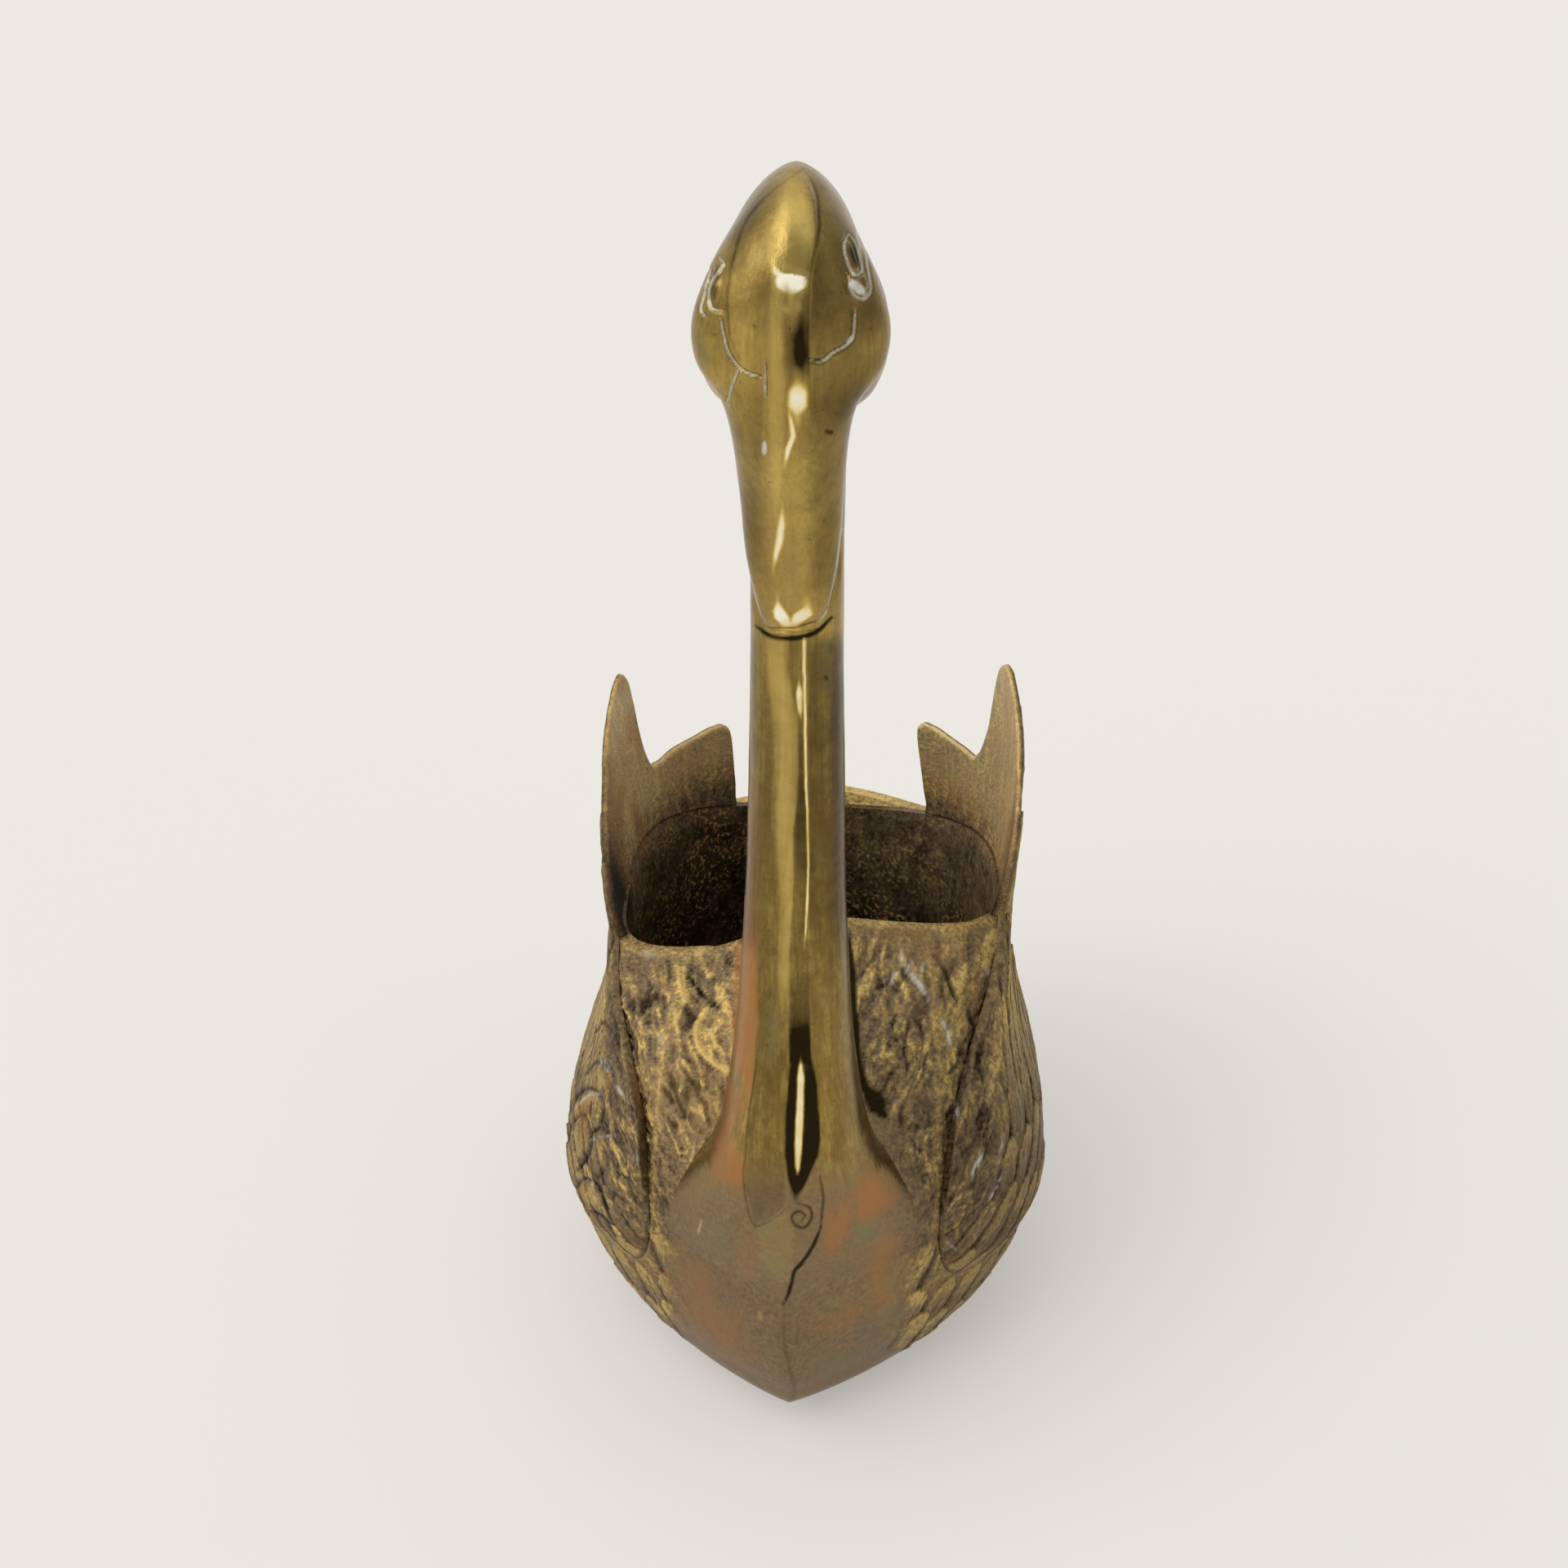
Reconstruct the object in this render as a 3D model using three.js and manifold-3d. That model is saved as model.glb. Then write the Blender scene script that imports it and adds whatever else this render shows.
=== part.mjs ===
// Brass swan planter: six sand castings, brazed together into one rigid pot.
// Millimetres, +Z up. The swan looks along -Y, and its left side lies towards +X.
import * as THREE from 'three';
import { mergeVertices } from 'three/addons/utils/BufferGeometryUtils.js';
import Module from 'manifold-3d';

const wasm = await Module();
wasm.setup();

// Hull: a bowl with a flat bottom, a pointed breast and an opening with a straight front
const beam = 115;
const rimHeight = 93;
const breastReach = 61;
const rimSetback = 13;
const sternReach = 95;
const sternDrop = 12;
const hullWall = 2.6;
const floorThickness = 3;

// The opening was filed by hand: its front edge runs back and up to the swan's left, with an arch
// that reaches further on that side
const rimSkew = 0.14;
const rimTilt = 0.05;
const rimArch = 8;
const rimArchLeft = 42;
const rimArchRight = 24;

// Wings: panels lapped on the flanks, with a heel on the rim and two feather tips each
const brazeGap = 0.3;
const wingThickness = 3;
const wingEdgeThickness = 2.4;
const heelWidth = 1.8;
const wallFlare = 3;
const leftWing = {
  side: 1,
  tipHeight: 146,
  innerTipHeight: 121,
  tipLean: -0.8,
  rear: 0.8,
  rearSweep: 0.047,
  notchShift: 0.034,
  notchRise: 5,
};
const rightWing = {
  side: -1,
  tipHeight: 139.5,
  innerTipHeight: 117.4,
  tipLean: 2.6,
  rear: 0.834,
  rearSweep: 0.014,
  notchShift: 0.005,
  notchRise: 0,
};

// Tail: a low peaked plate that closes the back of the opening
const tailHeight = 96.3;
const tailCornerHeight = 91.7;
const tailFoot = 74;
const tailFlare = 5;
const tailThickness = 2.2;

// Neck and head: one solid casting, butted on a stump of the breast
const neckForward = 36;
const neckBow = 5;
const neckWidth = 19;
const neckDepth = 20;
const rootWidth = 35;
const stumpDepth = 44;
const jointHeight = 80;
const jointTilt = 0.16;
const headTop = 299.5;
const headDrop = 88;
const browReach = 22.3;
const headWidth = 34;
const skullDepth = 28.5;
const billWidth = 20.5;
const billTipWidth = 10.5;
const eyeRadius = 3.2;

// Colours of the cast metal
const agedBrass = { color: 0x8f7442, roughness: 0.5, metalness: 1 };
const wornBrass = { color: 0x9c7d49, roughness: 0.45, metalness: 1 };
const polishedBrass = { color: 0xb3944a, roughness: 0.22, metalness: 1 };

// Mesh densities
const hullSides = 26;
const cornerSamples = 50;
const wingRows = 12;
const tailColumns = 20;
const tailRows = 6;
const sectionSides = 24;
const rowSteps = 2;

// Lines of the hull as shares of its sizes, from the bottom up. Each row has the height, half width,
// bow (0 at the breast, 1 at the rim), stern, widest station, bow curve across and along, stern curve.
const hullLines = [
  [0.00, 0.63, 0.27, 0.60, 0.08, 1.30, 2.0, 2.2],
  [0.07, 0.82, 0.09, 0.74, 0.06, 1.15, 2.0, 2.2],
  [0.17, 0.94, 0.02, 0.84, 0.05, 1.05, 2.0, 2.3],
  [0.32, 1.00, 0.00, 0.92, 0.05, 1.10, 2.0, 2.3],
  [0.48, 0.99, 0.02, 0.96, 0.09, 1.25, 2.1, 2.3],
  [0.63, 0.94, 0.10, 0.98, 0.16, 1.60, 2.3, 2.3],
  [0.76, 0.875, 0.28, 0.99, 0.29, 2.20, 2.7, 2.35],
  [0.86, 0.845, 0.52, 1.00, 0.37, 3.00, 3.4, 2.35],
  [0.94, 0.844, 0.76, 1.00, 0.40, 4.20, 4.4, 2.3],
  [1.00, 0.85, 1.00, 1.00, 0.44, 5.50, 5.5, 2.3],
];
const hullLevels = [
  0, 0.03, 0.07, 0.12, 0.18, 0.26, 0.35, 0.44, 0.53, 0.61, 0.68, 0.74, 0.8, 0.85, 0.9, 0.95, 1,
];

// Outline of a wing. Each row has the share of the way round from bow to stern, the heights of the lower
// edge and of the top edge as shares of the rim height, and what the outer and the inner feather add to
// the top as shares of their rise above the rim.
const wingLines = [
  [0.190, 0.50, 0.62, 0, 0],
  [0.200, 0.42, 0.72, 0, 0],
  [0.222, 0.35, 0.80, 0, 0],
  [0.250, 0.33, 0.865, 0, 0],
  [0.285, 0.31, 0.93, 0, 0],
  [0.312, 0.30, 1, 0, 0],
  [0.330, 0.30, 1, 0.14, 0],
  [0.370, 0.30, 1, 0.31, 0],
  [0.440, 0.31, 1, 0.54, 0],
  [0.520, 0.33, 1, 0.80, 0],
  [0.558, 0.35, 1, 0.92, 0],
  [0.576, 0.36, 1, 0.975, 0],
  [0.590, 0.37, 1, 1.00, 0],
  [0.603, 0.38, 1, 0.98, 0],
  [0.613, 0.39, 1, 0.91, 0],
  [0.622, 0.40, 1, 0.76, 0],
  [0.631, 0.41, 1, 0.53, 0],
  [0.645, 0.42, 1, 0.34, 0.08],
  [0.668, 0.45, 1, 0.15, 0.39],
  [0.715, 0.50, 1, 0, 0.77],
  [0.770, 0.57, 1, 0, 0.88],
  [0.812, 0.65, 1, 0, 0.99],
  [0.832, 0.69, 1, 0, 1.00],
  [0.846, 0.72, 1, 0, 0.87],
  [0.853, 0.74, 1, 0, 0.49],
  [0.858, 0.76, 1, 0, 0.24],
];
const wingRear = wingLines[wingLines.length - 1][0];
const wingNotch = 0.7;

// Centre line and sections of the neck, in the plane x = 0. Each row has how far the centre lies ahead of
// the neck's line, its height, the half width, the depths to the outside of the bend and to its inside
// as shares of the neck's depth, and how square the outside and the inside are.
const inStump = (share) => jointHeight - share * stumpDepth;
const alongNeck = (share) => THREE.MathUtils.lerp(jointHeight, headTop, share);
const down = (share) => headTop - share * headDrop;
const neckRows = [
  [0.60 * neckBow, inStump(1), 0.74 * rootWidth, 0.95, 0.96, 2.0, 1.25],
  [0.64 * neckBow, inStump(0.73), 0.89 * rootWidth, 0.98, 1.01, 2.0, 1.25],
  [0.72 * neckBow, inStump(0.5), 0.83 * rootWidth, 0.95, 1.03, 2.0, 1.4],
  [0.84 * neckBow, inStump(0.32), 0.70 * rootWidth, 0.90, 1.01, 2.0, 1.6],
  [0.96 * neckBow, inStump(0.16), 0.575 * rootWidth, 0.84, 0.95, 2.0, 1.8],
  [0.98 * neckBow, inStump(-0.09), 0.47 * rootWidth, 0.75, 0.87, 2.0, 2.0],
  [0.84 * neckBow, alongNeck(0.077), 0.755 * neckWidth, 0.68, 0.78, 2.0, 2.0],
  [0.60 * neckBow, alongNeck(0.15), 0.66 * neckWidth, 0.61, 0.69, 2.0, 2.0],
  [0.24 * neckBow, alongNeck(0.228), 0.60 * neckWidth, 0.565, 0.59, 2.0, 2.0],
  [-0.08 * neckBow, alongNeck(0.319), 0.55 * neckWidth, 0.53, 0.53, 2.0, 2.0],
  [-0.32 * neckBow, alongNeck(0.419), 0.52 * neckWidth, 0.50, 0.50, 2.0, 2.0],
  [-0.32 * neckBow, alongNeck(0.538), 0.49 * neckWidth, 0.48, 0.475, 2.0, 2.0],
  [-0.16 * neckBow, alongNeck(0.638), 0.48 * neckWidth, 0.47, 0.46, 2.0, 2.0],
  [-0.28 * neckBow, alongNeck(0.729), 0.48 * neckWidth, 0.475, 0.44, 2.0, 2.0],
  [-0.52 * neckBow, down(0.494), 0.50 * neckWidth, 0.51, 0.41, 2.0, 2.0],
];
const headRows = [
  [-0.10 * browReach, down(0.352), 0.31 * headWidth, 0.56, 0.40, 1.9, 2.0],
  [0.09 * browReach, down(0.227), 0.33 * headWidth, 0.63, 0.42, 1.7, 2.0],
  [0.40 * browReach, down(0.17), 0.33 * headWidth, 0.71, 0.47, 1.6, 2.2],
  [0.70 * browReach, down(0.205), 0.425 * headWidth, 0.70, 0.50, 1.8, 2.4],
  [0.90 * browReach, down(0.278), 0.50 * headWidth, 0.58, 0.52, 1.9, 2.4],
  [0.99 * browReach, down(0.358), 0.475 * headWidth, 0.48, 0.45, 2.0, 2.4],
  [1.00 * browReach, down(0.432), 0.58 * billWidth, 0.42, 0.38, 2.0, 2.6],
  [0.925 * browReach, down(0.523), 0.50 * billWidth, 0.37, 0.42, 2.0, 2.8],
  [0.735 * browReach, down(0.67), 0.46 * billWidth, 0.31, 0.45, 2.1, 3.0],
  [0.62 * browReach, down(0.818), 0.42 * billWidth, 0.23, 0.37, 2.2, 3.0],
  [0.52 * browReach, down(0.96), 0.62 * billTipWidth, 0.16, 0.24, 2.3, 3.0],
  [0.49 * browReach, down(1), 0.5 * billTipWidth, 0.11, 0.15, 2.3, 3.0],
];

// The skull fills the bend: rows as for the neck, with depths as shares of the skull's
const skullRows = [
  [-0.02 * browReach, down(0.17), 0.18 * headWidth, 0.12, 0.16, 2.6, 2.6],
  [0.07 * browReach, down(0.187), 0.31 * headWidth, 0.30, 0.36, 2.8, 2.8],
  [0.27 * browReach, down(0.227), 0.385 * headWidth, 0.42, 0.49, 3.0, 3.0],
  [0.54 * browReach, down(0.284), 0.475 * headWidth, 0.46, 0.54, 3.0, 3.0],
  [0.785 * browReach, down(0.335), 0.49 * headWidth, 0.42, 0.51, 3.0, 3.0],
  [0.985 * browReach, down(0.381), 0.44 * headWidth, 0.30, 0.40, 2.8, 2.8],
  [1.12 * browReach, down(0.409), 0.35 * headWidth, 0.18, 0.26, 2.5, 2.5],
  [1.19 * browReach, down(0.423), 0.20 * headWidth, 0.08, 0.12, 2.3, 2.3],
];
const eyePlace = { across: 0.31 * headWidth, ahead: 1.08 * browReach, height: down(0.195) };

// Smooth values through a table's rows, looked up by their first column
function table(rows) {
  const width = rows[0].length - 1;
  const positions = rows.map((row) => row[0]);
  const values = rows.flatMap((row) => row.slice(1));
  const curve = new THREE.CubicInterpolant(positions, values, width);
  return (position) => Array.from(curve.evaluate(position));
}

const hullTable = table(hullLines);
const wingTable = table(wingLines);
const wingTop = Math.max(leftWing.tipHeight, rightWing.tipHeight);

// The body's section at a level. Above the rim the side walls carry on, flare and turn up.
function bodyLines(level) {
  const [width, bow, stern, widest, across, along, round] = hullTable(Math.min(level / rimHeight, 1));
  const rise = THREE.MathUtils.clamp((level - rimHeight) / (wingTop - rimHeight), 0, 1);
  return {
    halfWidth: beam / 2 * width + wallFlare * Math.sin(0.75 * Math.PI * rise),
    bow: -breastReach + bow * (breastReach + rimSetback),
    stern: sternReach * stern,
    widest: sternReach * widest,
    across,
    along,
    round,
  };
}

function sectionXY(lines, angle) {
  const sine = Math.sin(angle);
  const cosine = Math.cos(angle);
  const ahead = cosine > 0;
  const across = ahead ? lines.across : lines.round;
  const along = ahead ? lines.along : lines.round;
  const reach = ahead ? lines.widest - lines.bow : lines.stern - lines.widest;
  const x = lines.halfWidth * Math.max(sine, 0) ** (2 / across);
  const y = lines.widest - Math.sign(cosine) * reach * Math.abs(cosine) ** (2 / along);
  return [x, y];
}

// Angles from bow to stern, crowded towards each end of a quarter where a squarish curve runs fast
function sampleAngles({ across, along, round }) {
  const nearEnd = 1 - 1e-9;
  const quarters = [2];
  for (const [start, first, second] of [[0, across, along], [1, round, round]]) {
    for (let i = 0; i < cornerSamples; i += 1) {
      const step = i / cornerSamples;
      quarters.push(start + step ** Math.max(1, first / 2) / 2);
      quarters.push(start + nearEnd - (1 - step) ** Math.max(1, second / 2) / 2);
    }
  }
  return quarters.sort((a, b) => a - b).map((quarter) => quarter * Math.PI / 2);
}

// The angle at a share of the way round the section, by arc length from bow to stern
const sampledSections = new Map();
function angleAt(lines, share) {
  const key = Object.values(lines).join();
  if (!sampledSections.has(key)) {
    const angles = sampleAngles(lines);
    const points = angles.map((angle) => new THREE.Vector2(...sectionXY(lines, angle)));
    const lengths = [0];
    for (let i = 1; i < points.length; i += 1) {
      lengths.push(lengths[i - 1] + points[i].distanceTo(points[i - 1]));
    }
    sampledSections.set(key, { angles, lengths });
  }
  const { angles, lengths } = sampledSections.get(key);
  const wanted = share * lengths[lengths.length - 1];
  const after = Math.max(1, lengths.findIndex((length) => length >= wanted));
  const part = (wanted - lengths[after - 1]) / (lengths[after] - lengths[after - 1]);
  return THREE.MathUtils.lerp(angles[after - 1], angles[after], part);
}

// A point of the body: side 1 or -1, share of the way round, level, and distance out from the skin.
// Near the rim and above it the distance is measured level, so that walls stand upright there.
function bodyPoint(side, share, level, out, flare = 0) {
  const lines = bodyLines(level);
  const angle = angleAt(lines, share);
  const step = rimHeight / 200;
  const upper = Math.min(level + step, rimHeight);
  const lower = Math.max(Math.min(level, rimHeight) - step, 0);
  const above = bodyLines(upper);
  const below = bodyLines(lower);
  const leaning = 1 - THREE.MathUtils.smoothstep(level, 0.88 * rimHeight, rimHeight);
  const outward = (line, sign) => {
    const slope = sign * (above[line] - below[line]) / (upper - lower) * leaning;
    return [1 / Math.hypot(1, slope), slope / Math.hypot(1, slope)];
  };
  const [sideOut, sideUp] = outward('halfWidth', -1);
  const [bowOut, bowUp] = outward('bow', 1);
  const [sternOut, sternUp] = outward('stern', -1);
  const moved = {
    ...lines,
    halfWidth: lines.halfWidth + out * sideOut,
    bow: lines.bow - out * bowOut,
    stern: lines.stern + out * sternOut,
  };
  const [x, y] = sectionXY(moved, angle);
  const endOn = Math.cos(angle) ** 2;
  const up = out * THREE.MathUtils.lerp(sideUp, Math.cos(angle) > 0 ? bowUp : sternUp, endOn);
  const height = Math.min(level / rimHeight, 1);
  const fore = THREE.MathUtils.clamp((moved.widest - y) / (moved.widest - moved.bow), 0, 1);
  const aft = Math.cos(angle) < 0 ? endOn : 0;
  const filed = fore * THREE.MathUtils.smoothstep(height, 0.6, 1);
  const arched = fore * THREE.MathUtils.smoothstep(height, 0.8, 1);
  const archReach = side > 0 ? rimArchLeft : rimArchRight;
  const arch = rimArch * Math.max(1 - x / archReach, 0) ** 1.2;
  const raised = rimTilt * side * x * filed + arch * arched;
  const z = level + up + raised - sternDrop * aft * height ** 3;
  return new THREE.Vector3(side * x, y + rimSkew * side * x * filed + flare * aft, z);
}

// A ring of body points at one level, anticlockwise from above, from the bow
function ring(level, out) {
  const points = [];
  for (let i = 0; i < hullSides; i += 1) {
    points.push(bodyPoint(1, i / hullSides, level, out));
  }
  for (let i = hullSides; i > 0; i -= 1) {
    points.push(bodyPoint(-1, i / hullSides, level, out));
  }
  return points;
}

function fromTriangles(points, triangles) {
  const geometry = new THREE.BufferGeometry();
  geometry.setAttribute('position', new THREE.Float32BufferAttribute(points.flatMap((p) => p.toArray()), 3));
  geometry.setIndex(triangles.flat());
  return geometry;
}

// Two triangles for a four-sided patch, split along its shorter diagonal
function patch(points, a, b, c, d) {
  if (points[a].distanceTo(points[c]) < points[b].distanceTo(points[d])) {
    return [[a, b, c], [a, c, d]];
  }
  return [[a, b, d], [b, c, d]];
}

// A closed solid through rings of equal length, with a fan over each end
function loft(rings) {
  const count = rings[0].length;
  const points = rings.flat();
  const triangles = [];
  for (let j = 0; j + 1 < rings.length; j += 1) {
    for (let i = 0; i < count; i += 1) {
      const a = j * count + i;
      const b = j * count + (i + 1) % count;
      triangles.push(...patch(points, a, b, b + count, a + count));
    }
  }
  const centre = (end) => end.reduce((sum, p) => sum.add(p), new THREE.Vector3()).divideScalar(count);
  const top = (rings.length - 1) * count;
  points.push(centre(rings[0]), centre(rings[rings.length - 1]));
  for (let i = 0; i < count; i += 1) {
    const next = (i + 1) % count;
    triangles.push([next, i, points.length - 2], [top + i, top + next, points.length - 1]);
  }
  return fromTriangles(points, triangles);
}

// A closed plate between an outer and an inner grid of points, both functions of column and row
function plate(columns, rows, outer, inner, mirrored) {
  const points = [];
  for (const face of [outer, inner]) {
    for (let i = 0; i <= columns; i += 1) {
      for (let j = 0; j <= rows; j += 1) {
        points.push(face(i, j));
      }
    }
  }
  const triangles = [];
  const quad = (a, b, c, d) => triangles.push(...patch(points, a, b, c, d));
  const at = (face, i, j) => (face * (columns + 1) + i) * (rows + 1) + j;
  for (let i = 0; i < columns; i += 1) {
    for (let j = 0; j < rows; j += 1) {
      quad(at(0, i, j), at(0, i + 1, j), at(0, i + 1, j + 1), at(0, i, j + 1));
      quad(at(1, i, j), at(1, i, j + 1), at(1, i + 1, j + 1), at(1, i + 1, j));
    }
    quad(at(0, i, 0), at(1, i, 0), at(1, i + 1, 0), at(0, i + 1, 0));
    quad(at(0, i, rows), at(0, i + 1, rows), at(1, i + 1, rows), at(1, i, rows));
  }
  for (let j = 0; j < rows; j += 1) {
    quad(at(0, 0, j), at(0, 0, j + 1), at(1, 0, j + 1), at(1, 0, j));
    quad(at(0, columns, j), at(1, columns, j), at(1, columns, j + 1), at(0, columns, j + 1));
  }
  if (mirrored) {
    triangles.forEach((triangle) => triangle.reverse());
  }
  return fromTriangles(points, triangles);
}

function toSolid(geometry) {
  const bare = geometry.clone();
  bare.deleteAttribute('normal');
  bare.deleteAttribute('uv');
  const merged = mergeVertices(bare, 1e-5);
  return new wasm.Manifold(new wasm.Mesh({
    numProp: 3,
    vertProperties: new Float32Array(merged.attributes.position.array),
    triVerts: new Uint32Array(merged.index.array),
  }));
}

function toGeometry(solid) {
  const mesh = solid.getMesh();
  const geometry = new THREE.BufferGeometry();
  geometry.setAttribute('position', new THREE.BufferAttribute(mesh.vertProperties, 3));
  geometry.setIndex(new THREE.BufferAttribute(mesh.triVerts, 1));
  geometry.computeVertexNormals();
  return geometry;
}

// The hull's skin, the space that wings and tail keep clear of, and the hollow of the bowl
function hullSolids() {
  const ringsAt = (levels, out) => levels.map((share) => ring(share * rimHeight, out));
  const skin = loft(ringsAt(hullLevels, 0));
  const clearance = loft([...ringsAt(hullLevels, brazeGap), ring(rimHeight + brazeGap, brazeGap)]);
  const floor = ring(floorThickness, -hullWall).map((p) => p.setZ(floorThickness));
  const inside = ringsAt(hullLevels.slice(2), -hullWall);
  const cavity = loft([floor, ...inside, ring(rimHeight + 2 * rimArch, -hullWall)]);
  return { skin: toSolid(skin), clearance: toSolid(clearance), cavity: toSolid(cavity) };
}

// How far the outside of a lapped plate lies from the hull's skin: the gap and the plate on the flank,
// and above it what stands out past the heel on the rim
function lapOut(height, thickness) {
  const standing = THREE.MathUtils.smoothstep(height, 0.75 * rimHeight, 1.2 * rimHeight);
  return THREE.MathUtils.lerp(brazeGap + thickness, wingEdgeThickness - heelWidth, standing);
}

function wingSolid(wing, clearance) {
  const { side, tipHeight, innerTipHeight, tipLean } = wing;
  const stations = [];
  for (let k = 0; k + 1 < wingLines.length; k += 1) {
    const pieces = wingLines[k + 1][0] - wingLines[k][0] > 0.025 ? 2 : 1;
    for (let i = 0; i < pieces; i += 1) {
      stations.push(THREE.MathUtils.lerp(wingLines[k][0], wingLines[k + 1][0], i / pieces));
    }
  }
  stations.push(wingRear);
  const lastColumn = stations.length - 1;
  const atNotch = (i) => {
    const { smoothstep } = THREE.MathUtils;
    return smoothstep(stations[i], 0.59, 0.64) - smoothstep(stations[i], 0.64, 0.715);
  };
  const share = (i, height) => {
    const behind = Math.max((stations[i] - wingNotch) / (wingRear - wingNotch), 0);
    const raised = Math.max((height - tailHeight) / (innerTipHeight - tailHeight), 0);
    const trimmed = wing.rear - wingRear + wing.rearSweep * raised;
    return stations[i] + trimmed * behind + wing.notchShift * atNotch(i);
  };
  const level = (i, j) => {
    const [bottom, top, outerRise, innerRise] = wingTable(stations[i]);
    const feathers = outerRise * (tipHeight - rimHeight) + innerRise * (innerTipHeight - rimHeight);
    const edge = top * rimHeight + feathers + wing.notchRise * atNotch(i);
    return THREE.MathUtils.lerp(bottom * rimHeight, edge, j / wingRows);
  };
  const lean = (height) => tipLean * Math.max((height - rimHeight) / (tipHeight - rimHeight), 0);
  const outer = (i, j) => {
    const height = level(i, j);
    const thinned = i === 0 || j === 0 || i === lastColumn || j === wingRows ? 0.6 : 1;
    const out = thinned * lapOut(height, wingThickness) + lean(height);
    return bodyPoint(side, share(i, height), height, out);
  };
  const inner = (i, j) => {
    const height = level(i, j);
    return bodyPoint(side, share(i, height), height, lean(height) - heelWidth);
  };
  return toSolid(plate(lastColumn, wingRows, outer, inner, side < 0)).subtract(clearance);
}

// The tail plate, from the left wing round the stern to the right wing
function tailSolid(clearance) {
  const across = (i) => 2 * i / tailColumns - 1;
  const level = (i, j) => {
    const peak = THREE.MathUtils.lerp(tailHeight, tailCornerHeight, Math.abs(across(i)) ** 1.3);
    return THREE.MathUtils.lerp(tailFoot, peak, j / tailRows);
  };
  const point = (i, height, out) => {
    const wing = across(i) > 0 ? rightWing : leftWing;
    const halfRound = 1 - wing.rear - brazeGap / sternReach;
    const flareFrom = 0.85 * rimHeight;
    const spread = Math.max((height - flareFrom) / (tailHeight - flareFrom), 0);
    return bodyPoint(wing.side, 1 - halfRound * Math.abs(across(i)), height, out, tailFlare * spread ** 2);
  };
  const outer = (i, j) => point(i, level(i, j), (j === 0 ? 0.6 : 1) * lapOut(level(i, j), tailThickness));
  const inner = (i, j) => point(i, level(i, j), -heelWidth);
  return toSolid(plate(tailColumns, tailRows, outer, inner, false)).subtract(clearance);
}

// Rings round a centre line in the plane x = 0, from rows like those of the neck
function sweepRings(rows, depth) {
  const centres = rows.map(([ahead, z]) => new THREE.Vector3(0, -neckForward - ahead, z));
  const centreLine = new THREE.CatmullRomCurve3(centres);
  const sections = table(rows.map((row, index) => [index, ...row.slice(2)]));
  const last = rows.length - 1;
  const rings = [];
  for (let i = 0; i <= last * rowSteps; i += 1) {
    const share = i / (last * rowSteps);
    const centre = centreLine.getPoint(share);
    const tangent = centreLine.getTangent(share);
    const outside = new THREE.Vector3(0, tangent.z, -tangent.y);
    const [half, outDepth, inDepth, outRound, inRound] = sections(share * last);
    rings.push(Array.from({ length: sectionSides }, (_, k) => {
      const angle = 2 * Math.PI * k / sectionSides;
      const inward = Math.sin(angle) < 0;
      const square = inward ? inRound : outRound;
      const power = (value) => Math.sign(value) * Math.abs(value) ** (2 / square);
      const reach = depth * (inward ? inDepth : outDepth) * power(Math.sin(angle));
      const point = centre.clone().addScaledVector(outside, reach);
      return point.setX(half * power(Math.cos(angle)));
    }));
  }
  return rings;
}

// A block larger than the planter, standing on the origin
function largeBlock() {
  const size = 4 * headTop;
  return new THREE.BoxGeometry(size, size, size).translate(0, 0, size / 2);
}

// Everything above the tilted joint between the stump of the breast and the neck
function aboveJoint(gap) {
  const block = largeBlock().translate(0, 0, gap).rotateX(jointTilt);
  return toSolid(block.translate(0, -neckForward, jointHeight));
}

// Everything on one side of the hull's middle seam
function besideSeam(side) {
  return toSolid(largeBlock().rotateY(side * Math.PI / 2));
}

// An eyeball, sunk in the side of the brow
function eye(side) {
  const ball = new THREE.SphereGeometry(eyeRadius, 16, 10);
  ball.translate(side * eyePlace.across, -neckForward - eyePlace.ahead, eyePlace.height);
  return toSolid(ball);
}

const planter = new THREE.Group();
function addPiece(name, solid, finish) {
  const mesh = new THREE.Mesh(toGeometry(solid), new THREE.MeshStandardMaterial(finish));
  mesh.name = name;
  planter.add(mesh);
}

const { skin, clearance, cavity } = hullSolids();
const bend = (neckRows.length - 1) * rowSteps;
const neckRings = sweepRings([...neckRows, ...headRows], neckDepth);
const pillar = toSolid(loft(neckRings.slice(0, bend + 1)));
const head = toSolid(loft(neckRings.slice(bend)));
const skull = toSolid(loft(sweepRings(skullRows, skullDepth)));
const hull = skin.add(pillar.subtract(aboveJoint(0))).subtract(cavity);
const neck = pillar.intersect(aboveJoint(brazeGap));

addPiece('left_hull_half', hull.intersect(besideSeam(1)), agedBrass);
addPiece('right_hull_half', hull.intersect(besideSeam(-1)), agedBrass);
addPiece('left_wing', wingSolid(leftWing, clearance), wornBrass);
addPiece('right_wing', wingSolid(rightWing, clearance), wornBrass);
addPiece('tail', tailSolid(clearance), wornBrass);
addPiece('neck_and_head', neck.add(head).add(skull).add(eye(1)).add(eye(-1)), polishedBrass);

// The pot stands on its flat bottom, with the middle of its length over the origin
const outline = new THREE.Box3().setFromObject(planter);
planter.children.forEach((mesh) => mesh.geometry.translate(0, -(outline.min.y + outline.max.y) / 2, 0));

export default planter;
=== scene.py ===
"""Brass swan planter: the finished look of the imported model.

Shapes are made in millimetres with numpy, in the model's frame: +Z up, the swan looks along -Y, and its
left side lies towards +X. They are turned into metres when a mesh is made.
"""
import math
from types import SimpleNamespace

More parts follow.
